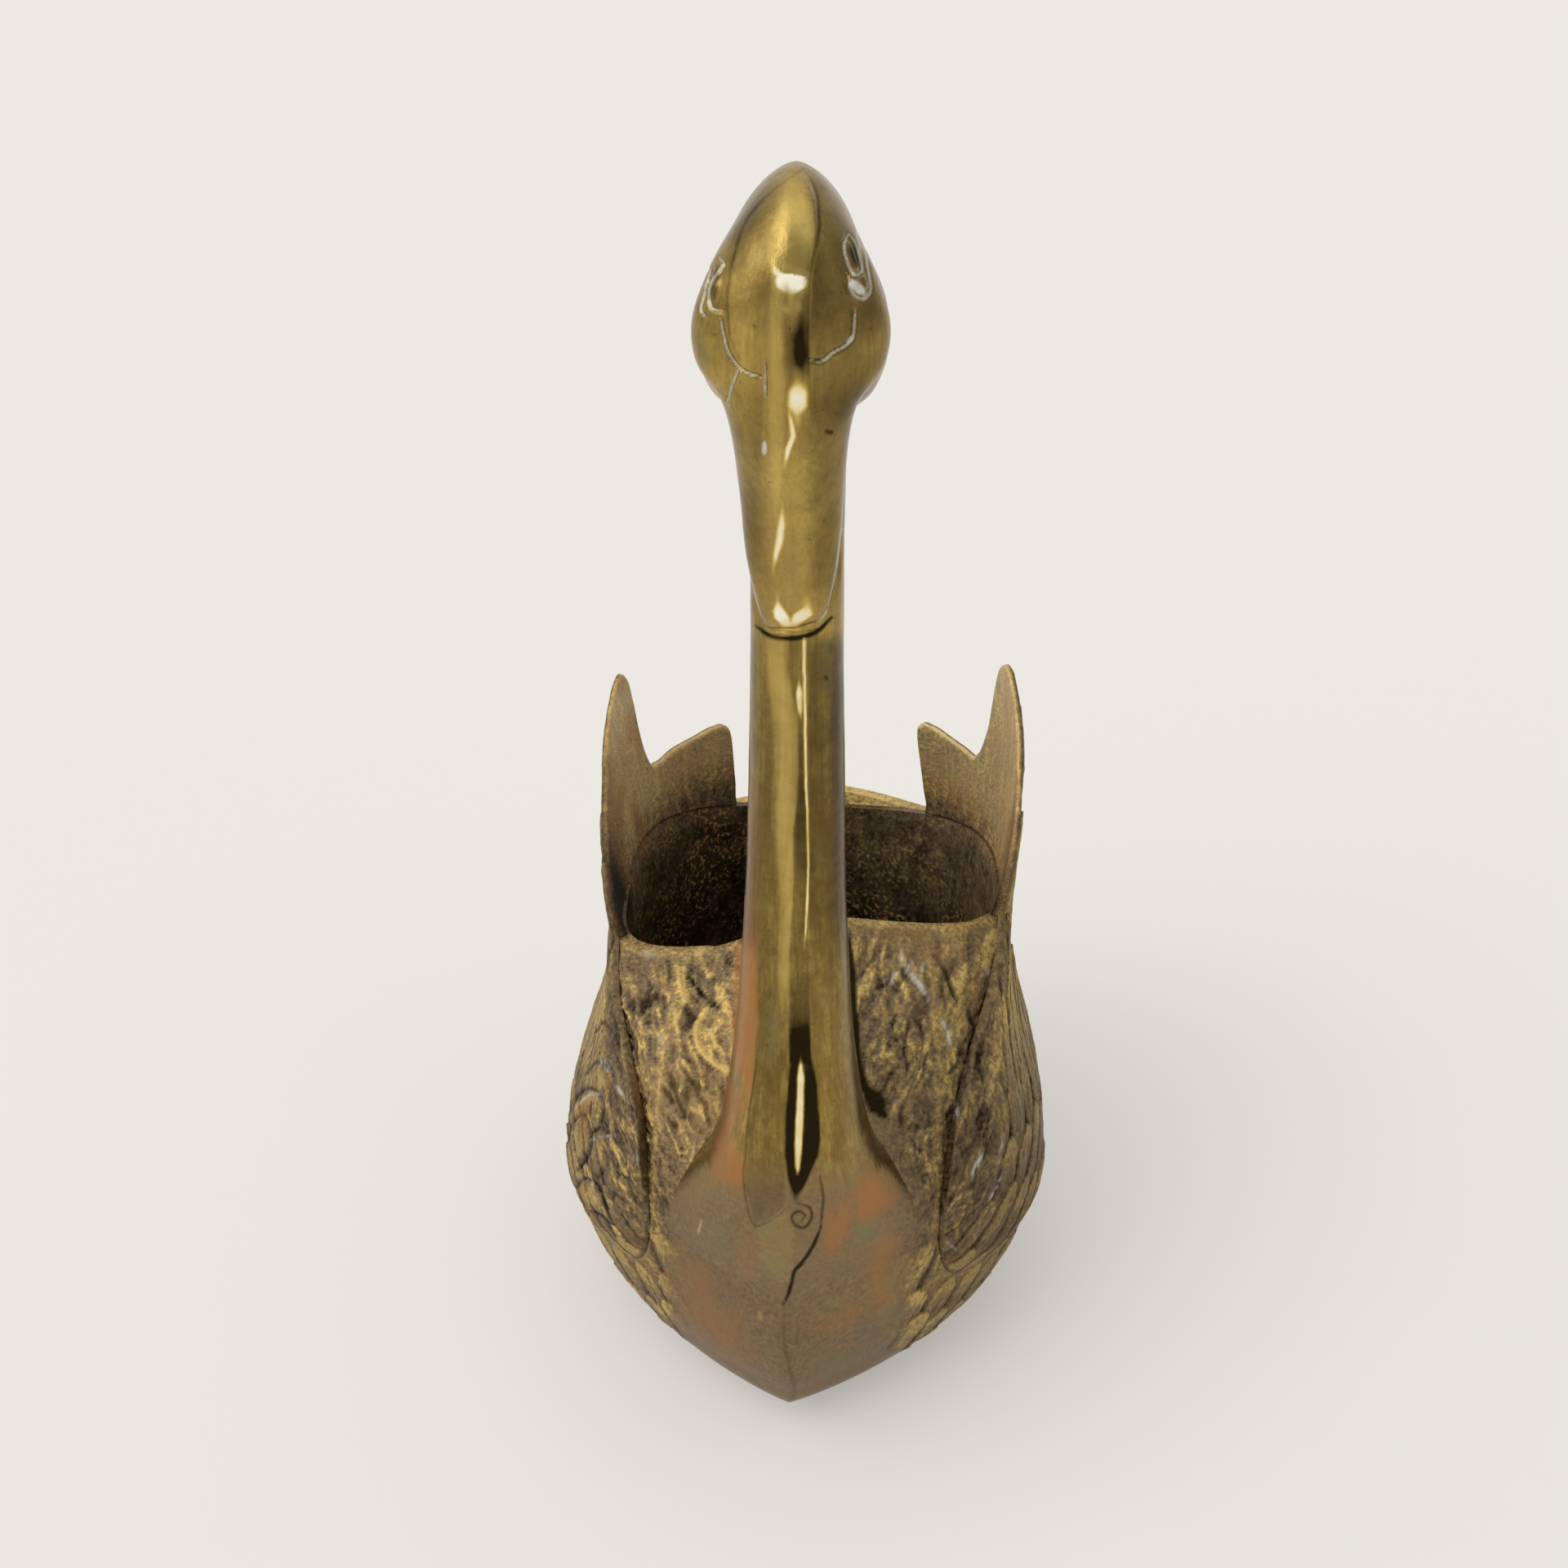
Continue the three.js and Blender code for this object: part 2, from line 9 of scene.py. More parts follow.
import bpy
import numpy as np
from mathutils import Matrix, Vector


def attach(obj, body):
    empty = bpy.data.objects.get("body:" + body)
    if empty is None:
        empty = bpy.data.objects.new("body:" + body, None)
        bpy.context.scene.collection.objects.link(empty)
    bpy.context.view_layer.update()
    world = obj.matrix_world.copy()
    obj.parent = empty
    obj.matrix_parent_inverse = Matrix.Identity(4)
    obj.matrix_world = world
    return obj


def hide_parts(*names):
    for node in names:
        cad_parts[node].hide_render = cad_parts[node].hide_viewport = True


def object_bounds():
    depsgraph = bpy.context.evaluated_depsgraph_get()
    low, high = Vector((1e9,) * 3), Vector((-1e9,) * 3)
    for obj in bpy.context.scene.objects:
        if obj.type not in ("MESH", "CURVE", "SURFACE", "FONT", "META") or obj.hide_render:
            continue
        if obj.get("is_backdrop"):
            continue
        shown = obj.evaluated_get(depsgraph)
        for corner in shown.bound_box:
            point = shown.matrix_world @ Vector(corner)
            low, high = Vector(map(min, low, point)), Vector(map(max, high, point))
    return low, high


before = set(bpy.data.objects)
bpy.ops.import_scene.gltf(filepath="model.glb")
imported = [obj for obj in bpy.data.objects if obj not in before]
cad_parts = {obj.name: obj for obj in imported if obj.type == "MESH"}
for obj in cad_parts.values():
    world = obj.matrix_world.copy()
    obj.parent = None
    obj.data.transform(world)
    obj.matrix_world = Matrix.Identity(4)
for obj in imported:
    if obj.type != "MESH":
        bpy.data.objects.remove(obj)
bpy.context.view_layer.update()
MM = 0.001
FINE = 1.0

# Camera
CAMERA_AT = np.array([22.0, -421.3, 400.0])
CAMERA_AZIMUTH, CAMERA_ELEVATION = math.radians(3.8), math.radians(32.0)
FOCAL_PIXELS, IMAGE_PIXELS, SENSOR = 2600.0, 1920.0, 36.0
BACK = np.array([
    math.sin(CAMERA_AZIMUTH) * math.cos(CAMERA_ELEVATION),
    -math.cos(CAMERA_AZIMUTH) * math.cos(CAMERA_ELEVATION),
    math.sin(CAMERA_ELEVATION),
])
RIGHT = np.array([math.cos(CAMERA_AZIMUTH), math.sin(CAMERA_AZIMUTH), 0.0])
UP = np.cross(BACK, RIGHT)

camera_data = bpy.data.cameras.new("camera")
camera_data.sensor_fit = "HORIZONTAL"
camera_data.sensor_width = SENSOR
camera_data.lens = FOCAL_PIXELS / IMAGE_PIXELS * SENSOR
camera_data.clip_start = 0.01
camera = bpy.data.objects.new("camera", camera_data)
bpy.context.scene.collection.objects.link(camera)
turn = Matrix((RIGHT, UP, BACK)).transposed().to_4x4()
turn.translation = CAMERA_AT * MM
camera.matrix_world = turn
bpy.context.scene.camera = camera


def pixels(points):
    """Where points (mm) lie in the 1920 pixel picture."""
    away = points - CAMERA_AT
    depth = -(away @ BACK)
    half = IMAGE_PIXELS / 2
    return half + FOCAL_PIXELS * (away @ RIGHT) / depth, half - FOCAL_PIXELS * (away @ UP) / depth


# Numbers
HASH_FACTORS, HASH_SCALE = (127.1, 311.7, 74.7, 53.3), 43758.5453
OCTAVE_FALL, OCTAVE_SEED = 1.8, 17


def smooth(value, low=0.0, high=1.0):
    """0 below low, 1 above high, and a smooth rise between."""
    t = np.clip((value - low) / (high - low), 0, 1)
    return t * t * (3 - 2 * t)


def mix(a, b, t):
    return a + (b - a) * t


def hashed(*cells):
    """A number from 0 to 1 that looks random and is always the same for the same cells."""
    total = 0.0
    for cell, factor in zip(cells, HASH_FACTORS):
        total = total + cell * factor
    return np.modf(np.abs(np.sin(total) * HASH_SCALE))[0]


def noise(points, size, seed=0.0):
    """Smooth value noise from 0 to 1 over points, with features of a size in mm."""
    p = points / size + 100.0
    low = np.floor(p)
    f = p - low
    f = f * f * (3 - 2 * f)
    total = 0.0
    for dx in (0, 1):
        for dy in (0, 1):
            for dz in (0, 1):
                weight = (f[..., 0] if dx else 1 - f[..., 0]) * (f[..., 1] if dy else 1 - f[..., 1])
                weight = weight * (f[..., 2] if dz else 1 - f[..., 2])
                total = total + weight * hashed(low[..., 0] + dx, low[..., 1] + dy, low[..., 2] + dz, seed)
    return total


def fractal(points, size, seed=0.0, octaves=3):
    """Noise of a size, its half and so on, each weaker than the one before, from 0 to 1."""
    total, weight = 0.0, 0.0
    for k in range(octaves):
        total = total + noise(points, size / 2 ** k, seed + OCTAVE_SEED * k) / OCTAVE_FALL ** k
        weight += 1 / OCTAVE_FALL ** k
    return total / weight


def ridged(u, v, seed=0.0):
    """Winding ridges of smooth noise over a plane: 1 along a ridge, 0 between."""
    iu, iv = np.floor(u), np.floor(v)
    fu, fv = u - iu, v - iv
    fu, fv = fu * fu * (3 - 2 * fu), fv * fv * (3 - 2 * fv)
    lower = mix(hashed(iu, iv, seed), hashed(iu + 1, iv, seed), fu)
    upper = mix(hashed(iu, iv + 1, seed), hashed(iu + 1, iv + 1, seed), fu)
    return 1 - np.abs(2 * mix(lower, upper, fv) - 1)


def table(rows):
    """Smooth values through a table's rows, looked up by their first column."""
    rows = np.array(rows, float)
    at, values = rows[:, 0], rows[:, 1:]
    last = len(at) - 1

    def look_up(position):
        p = np.clip(np.asarray(position, float), at[0], at[-1])
        after = np.clip(np.searchsorted(at, p, side="right"), 1, last)
        before = after - 1
        prior = np.where(before > 0, before - 1, after)
        later = np.where(after < last, after + 1, before)
        t0, t1 = at[before], at[after]
        half = (t1 - t0) / 2
        wp, wn = half / (t0 - at[prior]), half / (at[later] - t1)
        q = (p - t0) / (t1 - t0)
        qq, qqq = q * q, q ** 3
        sp = -wp * qqq + 2 * wp * qq - wp * q
        s0 = (1 + wp) * qqq + (-1.5 - 2 * wp) * qq + (-0.5 + wp) * q + 1
        s1 = (-1 - wn) * qqq + (1.5 + wn) * qq + 0.5 * q
        sn = wn * qqq - wn * qq
        parts = zip((sp, s0, s1, sn), (prior, before, after, later))
        return sum(weight[..., None] * values[index] for weight, index in parts)

    return look_up


# Sizes, as in the solid model
BEAM, RIM, BREAST, SETBACK, STERN, STERN_DROP = 115.0, 93.0, 61.0, 13.0, 95.0, 12.0
WALL, FLOOR = 2.6, 3.0
RIM_SKEW, RIM_TILT, RIM_ARCH, ARCH_LEFT, ARCH_RIGHT = 0.14, 0.05, 8.0, 42.0, 24.0
WING_THICK, WING_EDGE, HEEL, WALL_FLARE = 3.0, 2.4, 1.8, 3.0
LEFT_WING = dict(side=1, tip=146.0, inner=121.0, lean=-0.8, rear=0.8, sweep=0.047, shift=0.034, rise=5.0)
RIGHT_WING = dict(side=-1, tip=139.5, inner=117.4, lean=2.6, rear=0.834, sweep=0.014, shift=0.005, rise=0.0)
WING_TOP = 146.0
TAIL_TOP, TAIL_CORNER, TAIL_FOOT, TAIL_FLARE, TAIL_THICK = 96.3, 91.7, 74.0, 5.0, 2.2
NECK_AHEAD, BOW, NECK_W, NECK_D, ROOT_W, STUMP = 36.0, 5.0, 19.0, 20.0, 35.0, 44.0
JOINT_Z, JOINT_TILT, HEAD_TOP, HEAD_DROP, BROW = 80.0, 0.16, 299.5, 88.0, 22.3
HEAD_W, SKULL_D, BILL_W, BILL_TIP_W, EYE_R = 34.0, 28.5, 20.5, 10.5, 3.2
# Brings the middle of the overall outline over the origin
SHIFT = np.array([0.0, -16.3, 0.0])

# Rows of the hull: share of the rim's height; shares of the half width, the bow's setback, the stern's and
# the widest place's distance back; and roundness across, ahead and back
HULL_LINES = [
    [0.00, 0.63, 0.27, 0.60, 0.08, 1.30, 2.0, 2.2], [0.07, 0.82, 0.09, 0.74, 0.06, 1.15, 2.0, 2.2],
    [0.17, 0.94, 0.02, 0.84, 0.05, 1.05, 2.0, 2.3], [0.32, 1.00, 0.00, 0.92, 0.05, 1.10, 2.0, 2.3],
    [0.48, 0.99, 0.02, 0.96, 0.09, 1.25, 2.1, 2.3], [0.63, 0.94, 0.10, 0.98, 0.16, 1.60, 2.3, 2.3],
    [0.76, 0.875, 0.28, 0.99, 0.29, 2.20, 2.7, 2.35], [0.86, 0.845, 0.52, 1.00, 0.37, 3.00, 3.4, 2.35],
    [0.94, 0.844, 0.76, 1.00, 0.40, 4.20, 4.4, 2.3], [1.00, 0.85, 1.00, 1.00, 0.44, 5.50, 5.5, 2.3],
]
HULL_LEVELS = [0, 0.03, 0.07, 0.12, 0.18, 0.26, 0.35, 0.44, 0.53, 0.61, 0.68, 0.74, 0.8, 0.85, 0.9, 0.95, 1]
# Rows of a wing: share of the way from bow to stern, shares of the rim's height at the lower and the upper
# edge, and shares of the rise from the rim to the outer and to the inner tip
WING_LINES = [
    [0.190, 0.50, 0.62, 0, 0], [0.200, 0.42, 0.72, 0, 0], [0.222, 0.35, 0.80, 0, 0],
    [0.250, 0.33, 0.865, 0, 0], [0.285, 0.31, 0.93, 0, 0], [0.312, 0.30, 1, 0, 0],
    [0.330, 0.30, 1, 0.14, 0], [0.370, 0.30, 1, 0.31, 0], [0.440, 0.31, 1, 0.54, 0],
    [0.520, 0.33, 1, 0.80, 0], [0.558, 0.35, 1, 0.92, 0], [0.576, 0.36, 1, 0.975, 0],
    [0.590, 0.37, 1, 1.00, 0], [0.603, 0.38, 1, 0.98, 0], [0.613, 0.39, 1, 0.91, 0],
    [0.622, 0.40, 1, 0.76, 0], [0.631, 0.41, 1, 0.53, 0],
    [0.645, 0.42, 1, 0.34, 0.08], [0.668, 0.45, 1, 0.15, 0.39], [0.715, 0.50, 1, 0, 0.77],
    [0.770, 0.57, 1, 0, 0.88], [0.812, 0.65, 1, 0, 0.99], [0.832, 0.69, 1, 0, 1.00],
    [0.846, 0.72, 1, 0, 0.87], [0.853, 0.74, 1, 0, 0.49], [0.858, 0.76, 1, 0, 0.24],
]
WING_REAR, WING_NOTCH = 0.858, 0.7


def stump(share):
    return JOINT_Z - share * STUMP


def along(share):
    return JOINT_Z + share * (HEAD_TOP - JOINT_Z)


def down(share):
    return HEAD_TOP - share * HEAD_DROP


# Rows of neck, head and skull: place ahead and height in mm, half width, shares of the depth outwards and
# inwards, and roundness outwards and inwards
NECK_ROWS = [
    [0.60 * BOW, stump(1), 0.74 * ROOT_W, 0.95, 0.96, 2.0, 1.25],
    [0.64 * BOW, stump(0.73), 0.89 * ROOT_W, 0.98, 1.01, 2.0, 1.25],
    [0.72 * BOW, stump(0.5), 0.83 * ROOT_W, 0.95, 1.03, 2.0, 1.4],
    [0.84 * BOW, stump(0.32), 0.70 * ROOT_W, 0.90, 1.01, 2.0, 1.6],
    [0.96 * BOW, stump(0.16), 0.575 * ROOT_W, 0.84, 0.95, 2.0, 1.8],
    [0.98 * BOW, stump(-0.09), 0.47 * ROOT_W, 0.75, 0.87, 2.0, 2.0],
    [0.84 * BOW, along(0.077), 0.755 * NECK_W, 0.68, 0.78, 2.0, 2.0],
    [0.60 * BOW, along(0.15), 0.66 * NECK_W, 0.61, 0.69, 2.0, 2.0],
    [0.24 * BOW, along(0.228), 0.60 * NECK_W, 0.565, 0.59, 2.0, 2.0],
    [-0.08 * BOW, along(0.319), 0.55 * NECK_W, 0.53, 0.53, 2.0, 2.0],
    [-0.32 * BOW, along(0.419), 0.52 * NECK_W, 0.50, 0.50, 2.0, 2.0],
    [-0.32 * BOW, along(0.538), 0.49 * NECK_W, 0.48, 0.475, 2.0, 2.0],
    [-0.16 * BOW, along(0.638), 0.48 * NECK_W, 0.47, 0.46, 2.0, 2.0],
    [-0.28 * BOW, along(0.729), 0.48 * NECK_W, 0.475, 0.44, 2.0, 2.0],
    [-0.52 * BOW, down(0.494), 0.50 * NECK_W, 0.51, 0.41, 2.0, 2.0],
]
HEAD_ROWS = [
    [-0.10 * BROW, down(0.352), 0.31 * HEAD_W, 0.56, 0.40, 1.9, 2.0],
    [0.09 * BROW, down(0.227), 0.33 * HEAD_W, 0.63, 0.42, 1.7, 2.0],
    [0.40 * BROW, down(0.17), 0.33 * HEAD_W, 0.71, 0.47, 1.6, 2.2],
    [0.70 * BROW, down(0.205), 0.425 * HEAD_W, 0.70, 0.50, 1.8, 2.4],
    [0.90 * BROW, down(0.278), 0.50 * HEAD_W, 0.58, 0.52, 1.9, 2.4],
    [0.99 * BROW, down(0.358), 0.475 * HEAD_W, 0.48, 0.45, 2.0, 2.4],
    [1.00 * BROW, down(0.432), 0.58 * BILL_W, 0.42, 0.38, 2.0, 2.6],
    [0.925 * BROW, down(0.523), 0.50 * BILL_W, 0.37, 0.42, 2.0, 2.8],
    [0.735 * BROW, down(0.67), 0.46 * BILL_W, 0.31, 0.45, 2.1, 3.0],
    [0.62 * BROW, down(0.818), 0.42 * BILL_W, 0.23, 0.37, 2.2, 3.0],
    [0.52 * BROW, down(0.96), 0.62 * BILL_TIP_W, 0.16, 0.24, 2.3, 3.0],
    [0.49 * BROW, down(1), 0.5 * BILL_TIP_W, 0.11, 0.15, 2.3, 3.0],
]
SKULL_ROWS = [
    [-0.02 * BROW, down(0.17), 0.18 * HEAD_W, 0.12, 0.16, 2.6, 2.6],
    [0.07 * BROW, down(0.187), 0.31 * HEAD_W, 0.30, 0.36, 2.8, 2.8],
    [0.27 * BROW, down(0.227), 0.385 * HEAD_W, 0.42, 0.49, 3.0, 3.0],
    [0.54 * BROW, down(0.284), 0.475 * HEAD_W, 0.46, 0.54, 3.0, 3.0],
    [0.785 * BROW, down(0.335), 0.49 * HEAD_W, 0.42, 0.51, 3.0, 3.0],
    [0.985 * BROW, down(0.381), 0.44 * HEAD_W, 0.30, 0.40, 2.8, 2.8],
    [1.12 * BROW, down(0.409), 0.35 * HEAD_W, 0.18, 0.26, 2.5, 2.5],
    [1.19 * BROW, down(0.423), 0.20 * HEAD_W, 0.08, 0.12, 2.3, 2.3],
]
EYE_AT = (0.31 * HEAD_W, 1.08 * BROW, down(0.195))
hull_table, wing_table = table(HULL_LINES), table(WING_LINES)
# The map of angles: its levels and shares, and the steps of each quarter that it is measured in
MAP_SIZE, ARC_STEPS = (240, 501), 400
LEAN_ENDS, SLOPE_STEPS, RIM_FILED_FROM, RIM_ARCHED_FROM = 0.88, 200, 0.6, 0.8


# The body's surface
def body_lines(level):
    """The body's outline at a level: half width, bow, stern and widest place, and its roundnesses."""
    rows = hull_table(np.minimum(level / RIM, 1))
    width, bow, stern, widest, across, ahead, back = np.moveaxis(rows, -1, 0)
    rise = np.clip((level - RIM) / (WING_TOP - RIM), 0, 1)
    half = BEAM / 2 * width + WALL_FLARE * np.sin(0.75 * np.pi * rise)
    return [half, -BREAST + bow * (BREAST + SETBACK), STERN * stern, STERN * widest, across, ahead, back]


def section(lines, angle):
    """The outline's point at an angle, which runs from 0 at the bow to pi at the stern."""
    half, bow, stern, widest, across, ahead, back = lines
    sine, cosine = np.maximum(np.sin(angle), 0), np.cos(angle)
    fore = cosine > 0
    reach = np.where(fore, widest - bow, stern - widest)
    x = half * sine ** (2 / np.where(fore, across, back))
    return x, widest - np.sign(cosine) * reach * np.abs(cosine) ** (2 / np.where(fore, ahead, back))


def angle_map():
    """Angles round the section by level and by share of the arc length from bow to stern."""
    levels = np.linspace(0, WING_TOP, MAP_SIZE[0])
    shares = np.linspace(0, 1, MAP_SIZE[1])
    steps = np.linspace(0, 1, ARC_STEPS, endpoint=False)
    found = []
    for level in levels:
        lines = body_lines(level)
        quarters = [[2.0]]
        for start, first, second in ((0, lines[4], lines[5]), (1, lines[6], lines[6])):
            quarters.append(start + steps ** max(1, first / 2) / 2)
            quarters.append(start + 1 - 1e-9 - (1 - steps) ** max(1, second / 2) / 2)
        angles = np.sort(np.concatenate(quarters)) * np.pi / 2
        x, y = section(lines, angles)
        run = np.concatenate([[0], np.cumsum(np.hypot(np.diff(x), np.diff(y)))])
        found.append(np.interp(shares * run[-1], run, angles))
    return levels, shares, np.array(found)


MAP_LEVELS, MAP_SHARES, MAP_ANGLES = angle_map()


def angle_at(level, share):
    a = np.clip(level / WING_TOP, 0, 1) * (len(MAP_LEVELS) - 1)
    b = np.clip(share, 0, 1) * (len(MAP_SHARES) - 1)
    i, j = np.minimum(a.astype(int), len(MAP_LEVELS) - 2), np.minimum(b.astype(int), len(MAP_SHARES) - 2)
    a, b = a - i, b - j
    lower = mix(MAP_ANGLES[i, j], MAP_ANGLES[i, j + 1], b)
    return mix(lower, mix(MAP_ANGLES[i + 1, j], MAP_ANGLES[i + 1, j + 1], b), a)


def body_point(side, share, level, out, flare=0.0):
    """The point of the body's side at a share of the way from bow to stern and a level, moved out by mm."""
    share, level = np.broadcast_arrays(np.asarray(share, float), np.asarray(level, float))
    lines = body_lines(level)
    angle = angle_at(level, share)
    step = RIM / SLOPE_STEPS
    upper = np.minimum(level + step, RIM)
    lower = np.maximum(np.minimum(level, RIM) - step, 0)
    above, below = body_lines(upper), body_lines(lower)
    leaning = 1 - smooth(level, LEAN_ENDS * RIM, RIM)

    def outward(k, sign):
        slope = sign * (above[k] - below[k]) / (upper - lower) * leaning
        return 1 / np.hypot(1, slope), slope / np.hypot(1, slope)

    side_out, side_up = outward(0, -1)
    bow_out, bow_up = outward(1, 1)
    stern_out, stern_up = outward(2, -1)
    lines[0] = lines[0] + out * side_out
    lines[1] = lines[1] - out * bow_out
    lines[2] = lines[2] + out * stern_out
    x, y = section(lines, angle)
    end_on = np.cos(angle) ** 2
    up = out * mix(side_up, np.where(np.cos(angle) > 0, bow_up, stern_up), end_on)
    height = np.minimum(level / RIM, 1)
    fore = np.clip((lines[3] - y) / (lines[3] - lines[1]), 0, 1)
    aft = np.where(np.cos(angle) < 0, end_on, 0)
    filed = fore * smooth(height, RIM_FILED_FROM, 1)
    arched = fore * smooth(height, RIM_ARCHED_FROM, 1)
    arch = RIM_ARCH * np.maximum(1 - x / np.where(np.asarray(side) > 0, ARCH_LEFT, ARCH_RIGHT), 0) ** 1.2
    z = level + up + RIM_TILT * side * x * filed + arch * arched - STERN_DROP * aft * height ** 3
    y = y + RIM_SKEW * side * x * filed + flare * aft
    return np.stack([side * x, y, z], -1) + SHIFT


# Meshes
# A cut gives its new points the value 0. The relief value of all other points lies above this
NEW_POINT, LEAST_TONE, HEAL_ROUNDS = 0.01, 0.02, 4
FAR_PIXELS = 1e9


def new_mesh(name, points, quads, triangles=None, values=None):
    """An object from points in mm, four-sided and three-sided faces, and point values by name."""
    triangles = np.zeros((0, 3), int) if triangles is None else np.asarray(triangles, int)
    quads = np.asarray(quads, int).reshape(-1, 4)
    mesh = bpy.data.meshes.new(name)
    mesh.vertices.add(len(points))
    mesh.vertices.foreach_set("co", (np.asarray(points) * MM).astype(np.float32).ravel())
    corners = np.concatenate([quads.ravel(), triangles.ravel()])
    starts = np.concatenate([np.arange(len(quads)) * 4, len(quads) * 4 + np.arange(len(triangles)) * 3])
    mesh.loops.add(len(corners))
    mesh.loops.foreach_set("vertex_index", corners.astype(np.int32))
    mesh.polygons.add(len(starts))
    mesh.polygons.foreach_set("loop_start", starts.astype(np.int32))
    mesh.update(calc_edges=True)
    for key, value in (values or {}).items():
        layer = mesh.attributes.new(key, "FLOAT", "POINT")
        layer.data.foreach_set("value", np.asarray(value, np.float32).ravel())
    thing = bpy.data.objects.new(name, mesh)
    bpy.context.scene.collection.objects.link(thing)
    return thing


def copy_of(thing, name):
    copy = bpy.data.objects.new(name + "_copy", thing.data.copy())
    bpy.context.scene.collection.objects.link(copy)
    return copy


def grid_quads(rows, columns, wrap=False):
    """The four-sided faces of a grid of points, in turns round a ring where it wraps."""
    i, j = np.meshgrid(np.arange(rows - 1), np.arange(columns if wrap else columns - 1), indexing="ij")
    k = (j + 1) % columns
    quads = np.stack([i * columns + j, i * columns + k, (i + 1) * columns + k, (i + 1) * columns + j], -1)
    return quads.reshape(-1, 4)


def loft(name, rings, values):
    """A closed solid through rings, with a fan over each end. rings: rows x columns x 3."""
    rows, columns = rings.shape[:2]
    points = np.concatenate([rings.reshape(-1, 3), [rings[0].mean(0)], [rings[-1].mean(0)]])
    k = np.arange(columns)
    after = (k + 1) % columns
    foot = np.stack([after, k, np.full(columns, rows * columns)], -1)
    top = (rows - 1) * columns
    head = np.stack([top + k, top + after, np.full(columns, rows * columns + 1)], -1)
    spread = {key: np.concatenate([v.ravel(), [v[0].mean()], [v[-1].mean()]]) for key, v in values.items()}
    return new_mesh(name, points, grid_quads(rows, columns, True), np.concatenate([foot, head]), spread)


def plate(name, outer, inner, values_out, values_in, mirrored):
    """A closed plate between two equal grids of points."""
    rows, columns = outer.shape[:2]
    count = rows * columns
    face = grid_quads(rows, columns)
    quads = [face, face[:, ::-1] + count]
    up, along = np.arange(rows - 1) * columns, np.arange(columns - 1)
    last_column, last_row = up + columns - 1, along + (rows - 1) * columns
    for k, step, order in ((up, columns, 1), (last_column, columns, -1), (along, 1, -1), (last_row, 1, 1)):
        quads.append(np.stack([k, k + step, k + step + count, k + count], -1)[:, ::order])
    quads = np.concatenate(quads)
    if mirrored:
        quads = quads[:, ::-1]
    points = np.concatenate([outer.reshape(-1, 3), inner.reshape(-1, 3)])
    values = {key: np.concatenate([values_out[key].ravel(), values_in[key].ravel()]) for key in values_out}
    return new_mesh(name, points, quads, None, values)


def settle(thing):
    """Applies an object's modifiers."""
    graph = bpy.context.evaluated_depsgraph_get()
    mesh = bpy.data.meshes.new_from_object(thing.evaluated_get(graph))
    thing.modifiers.clear()
    old = thing.data
    thing.data = mesh
    bpy.data.meshes.remove(old)
    return thing


def edge_ends(mesh):
    """The numbers of the points at the two ends of every edge."""
    ends = np.empty(2 * len(mesh.edges), np.int32)
    mesh.edges.foreach_get("vertices", ends)
    return ends.reshape(-1, 2).T


def heal(mesh):
    """Gives the points that a cut has made, whose values are all 0, the mean values of their neighbours."""
    a, b = edge_ends(mesh)
    count = len(mesh.vertices)
    values = {key: value_of(mesh, key) for key in ("relief", "inside", "root") if key in mesh.attributes}
    known = values["relief"] > NEW_POINT
    for _ in range(HEAL_ROUNDS):
        weight = np.bincount(a, 1.0 * known[b], count) + np.bincount(b, 1.0 * known[a], count)
        fill = ~known & (weight > 0)
        for value in values.values():
            total = np.bincount(a, (value * known)[b], count) + np.bincount(b, (value * known)[a], count)
            value[fill] = total[fill] / weight[fill]
        known = known | fill
    for key, value in values.items():
        set_value(mesh, key, value)


def cut(thing, other, operation, keep=False):
    """Cuts or joins an object with another, which is then removed unless it is kept."""
    change = thing.modifiers.new("cut", "BOOLEAN")
    change.operation, change.solver, change.object = operation, "MANIFOLD", other
    settle(thing)
    heal(thing.data)
    if not keep:
        bpy.data.objects.remove(other)
    return thing


def block(low, high, tilt=0.0, at=(0, 0, 0)):
    """A box, tilted about the x axis and then moved."""
    x, y, z = [np.array([low[k], high[k]], float) for k in range(3)]
    corners = np.array([[a, b, c] for a in x for b in y for c in z])
    co, si = math.cos(tilt), math.sin(tilt)
    turned = np.stack([
        corners[:, 0], corners[:, 1] * co - corners[:, 2] * si, corners[:, 1] * si + corners[:, 2] * co,
    ], -1) + np.array(at)
    quads = [[0, 1, 3, 2], [4, 6, 7, 5], [0, 4, 5, 1], [2, 3, 7, 6], [0, 2, 6, 4], [1, 5, 7, 3]]
    values = {"relief": np.full(8, 0.5), "inside": np.zeros(8), "root": np.zeros(8)}
    return new_mesh("block", turned, quads, None, values)


def co_of(mesh):
    co = np.zeros(len(mesh.vertices) * 3, np.float32)
    mesh.vertices.foreach_get("co", co)
    return co.reshape(-1, 3).astype(float) / MM


def set_co(mesh, points):
    mesh.vertices.foreach_set("co", (points * MM).astype(np.float32).ravel())
    mesh.update()


def normals_of(mesh):
    normals = np.zeros(len(mesh.vertices) * 3, np.float32)
    mesh.vertex_normals.foreach_get("vector", normals)
    return normals.reshape(-1, 3).astype(float)


def value_of(mesh, key, default=0.0):
    values = np.full(len(mesh.vertices), default, np.float32)
    if key in mesh.attributes:
        mesh.attributes[key].data.foreach_get("value", values)
    return values.astype(float)


def set_value(mesh, key, values):
    attribute = mesh.attributes.get(key) or mesh.attributes.new(key, "FLOAT", "POINT")
    attribute.data.foreach_set("value", np.asarray(values, np.float32))


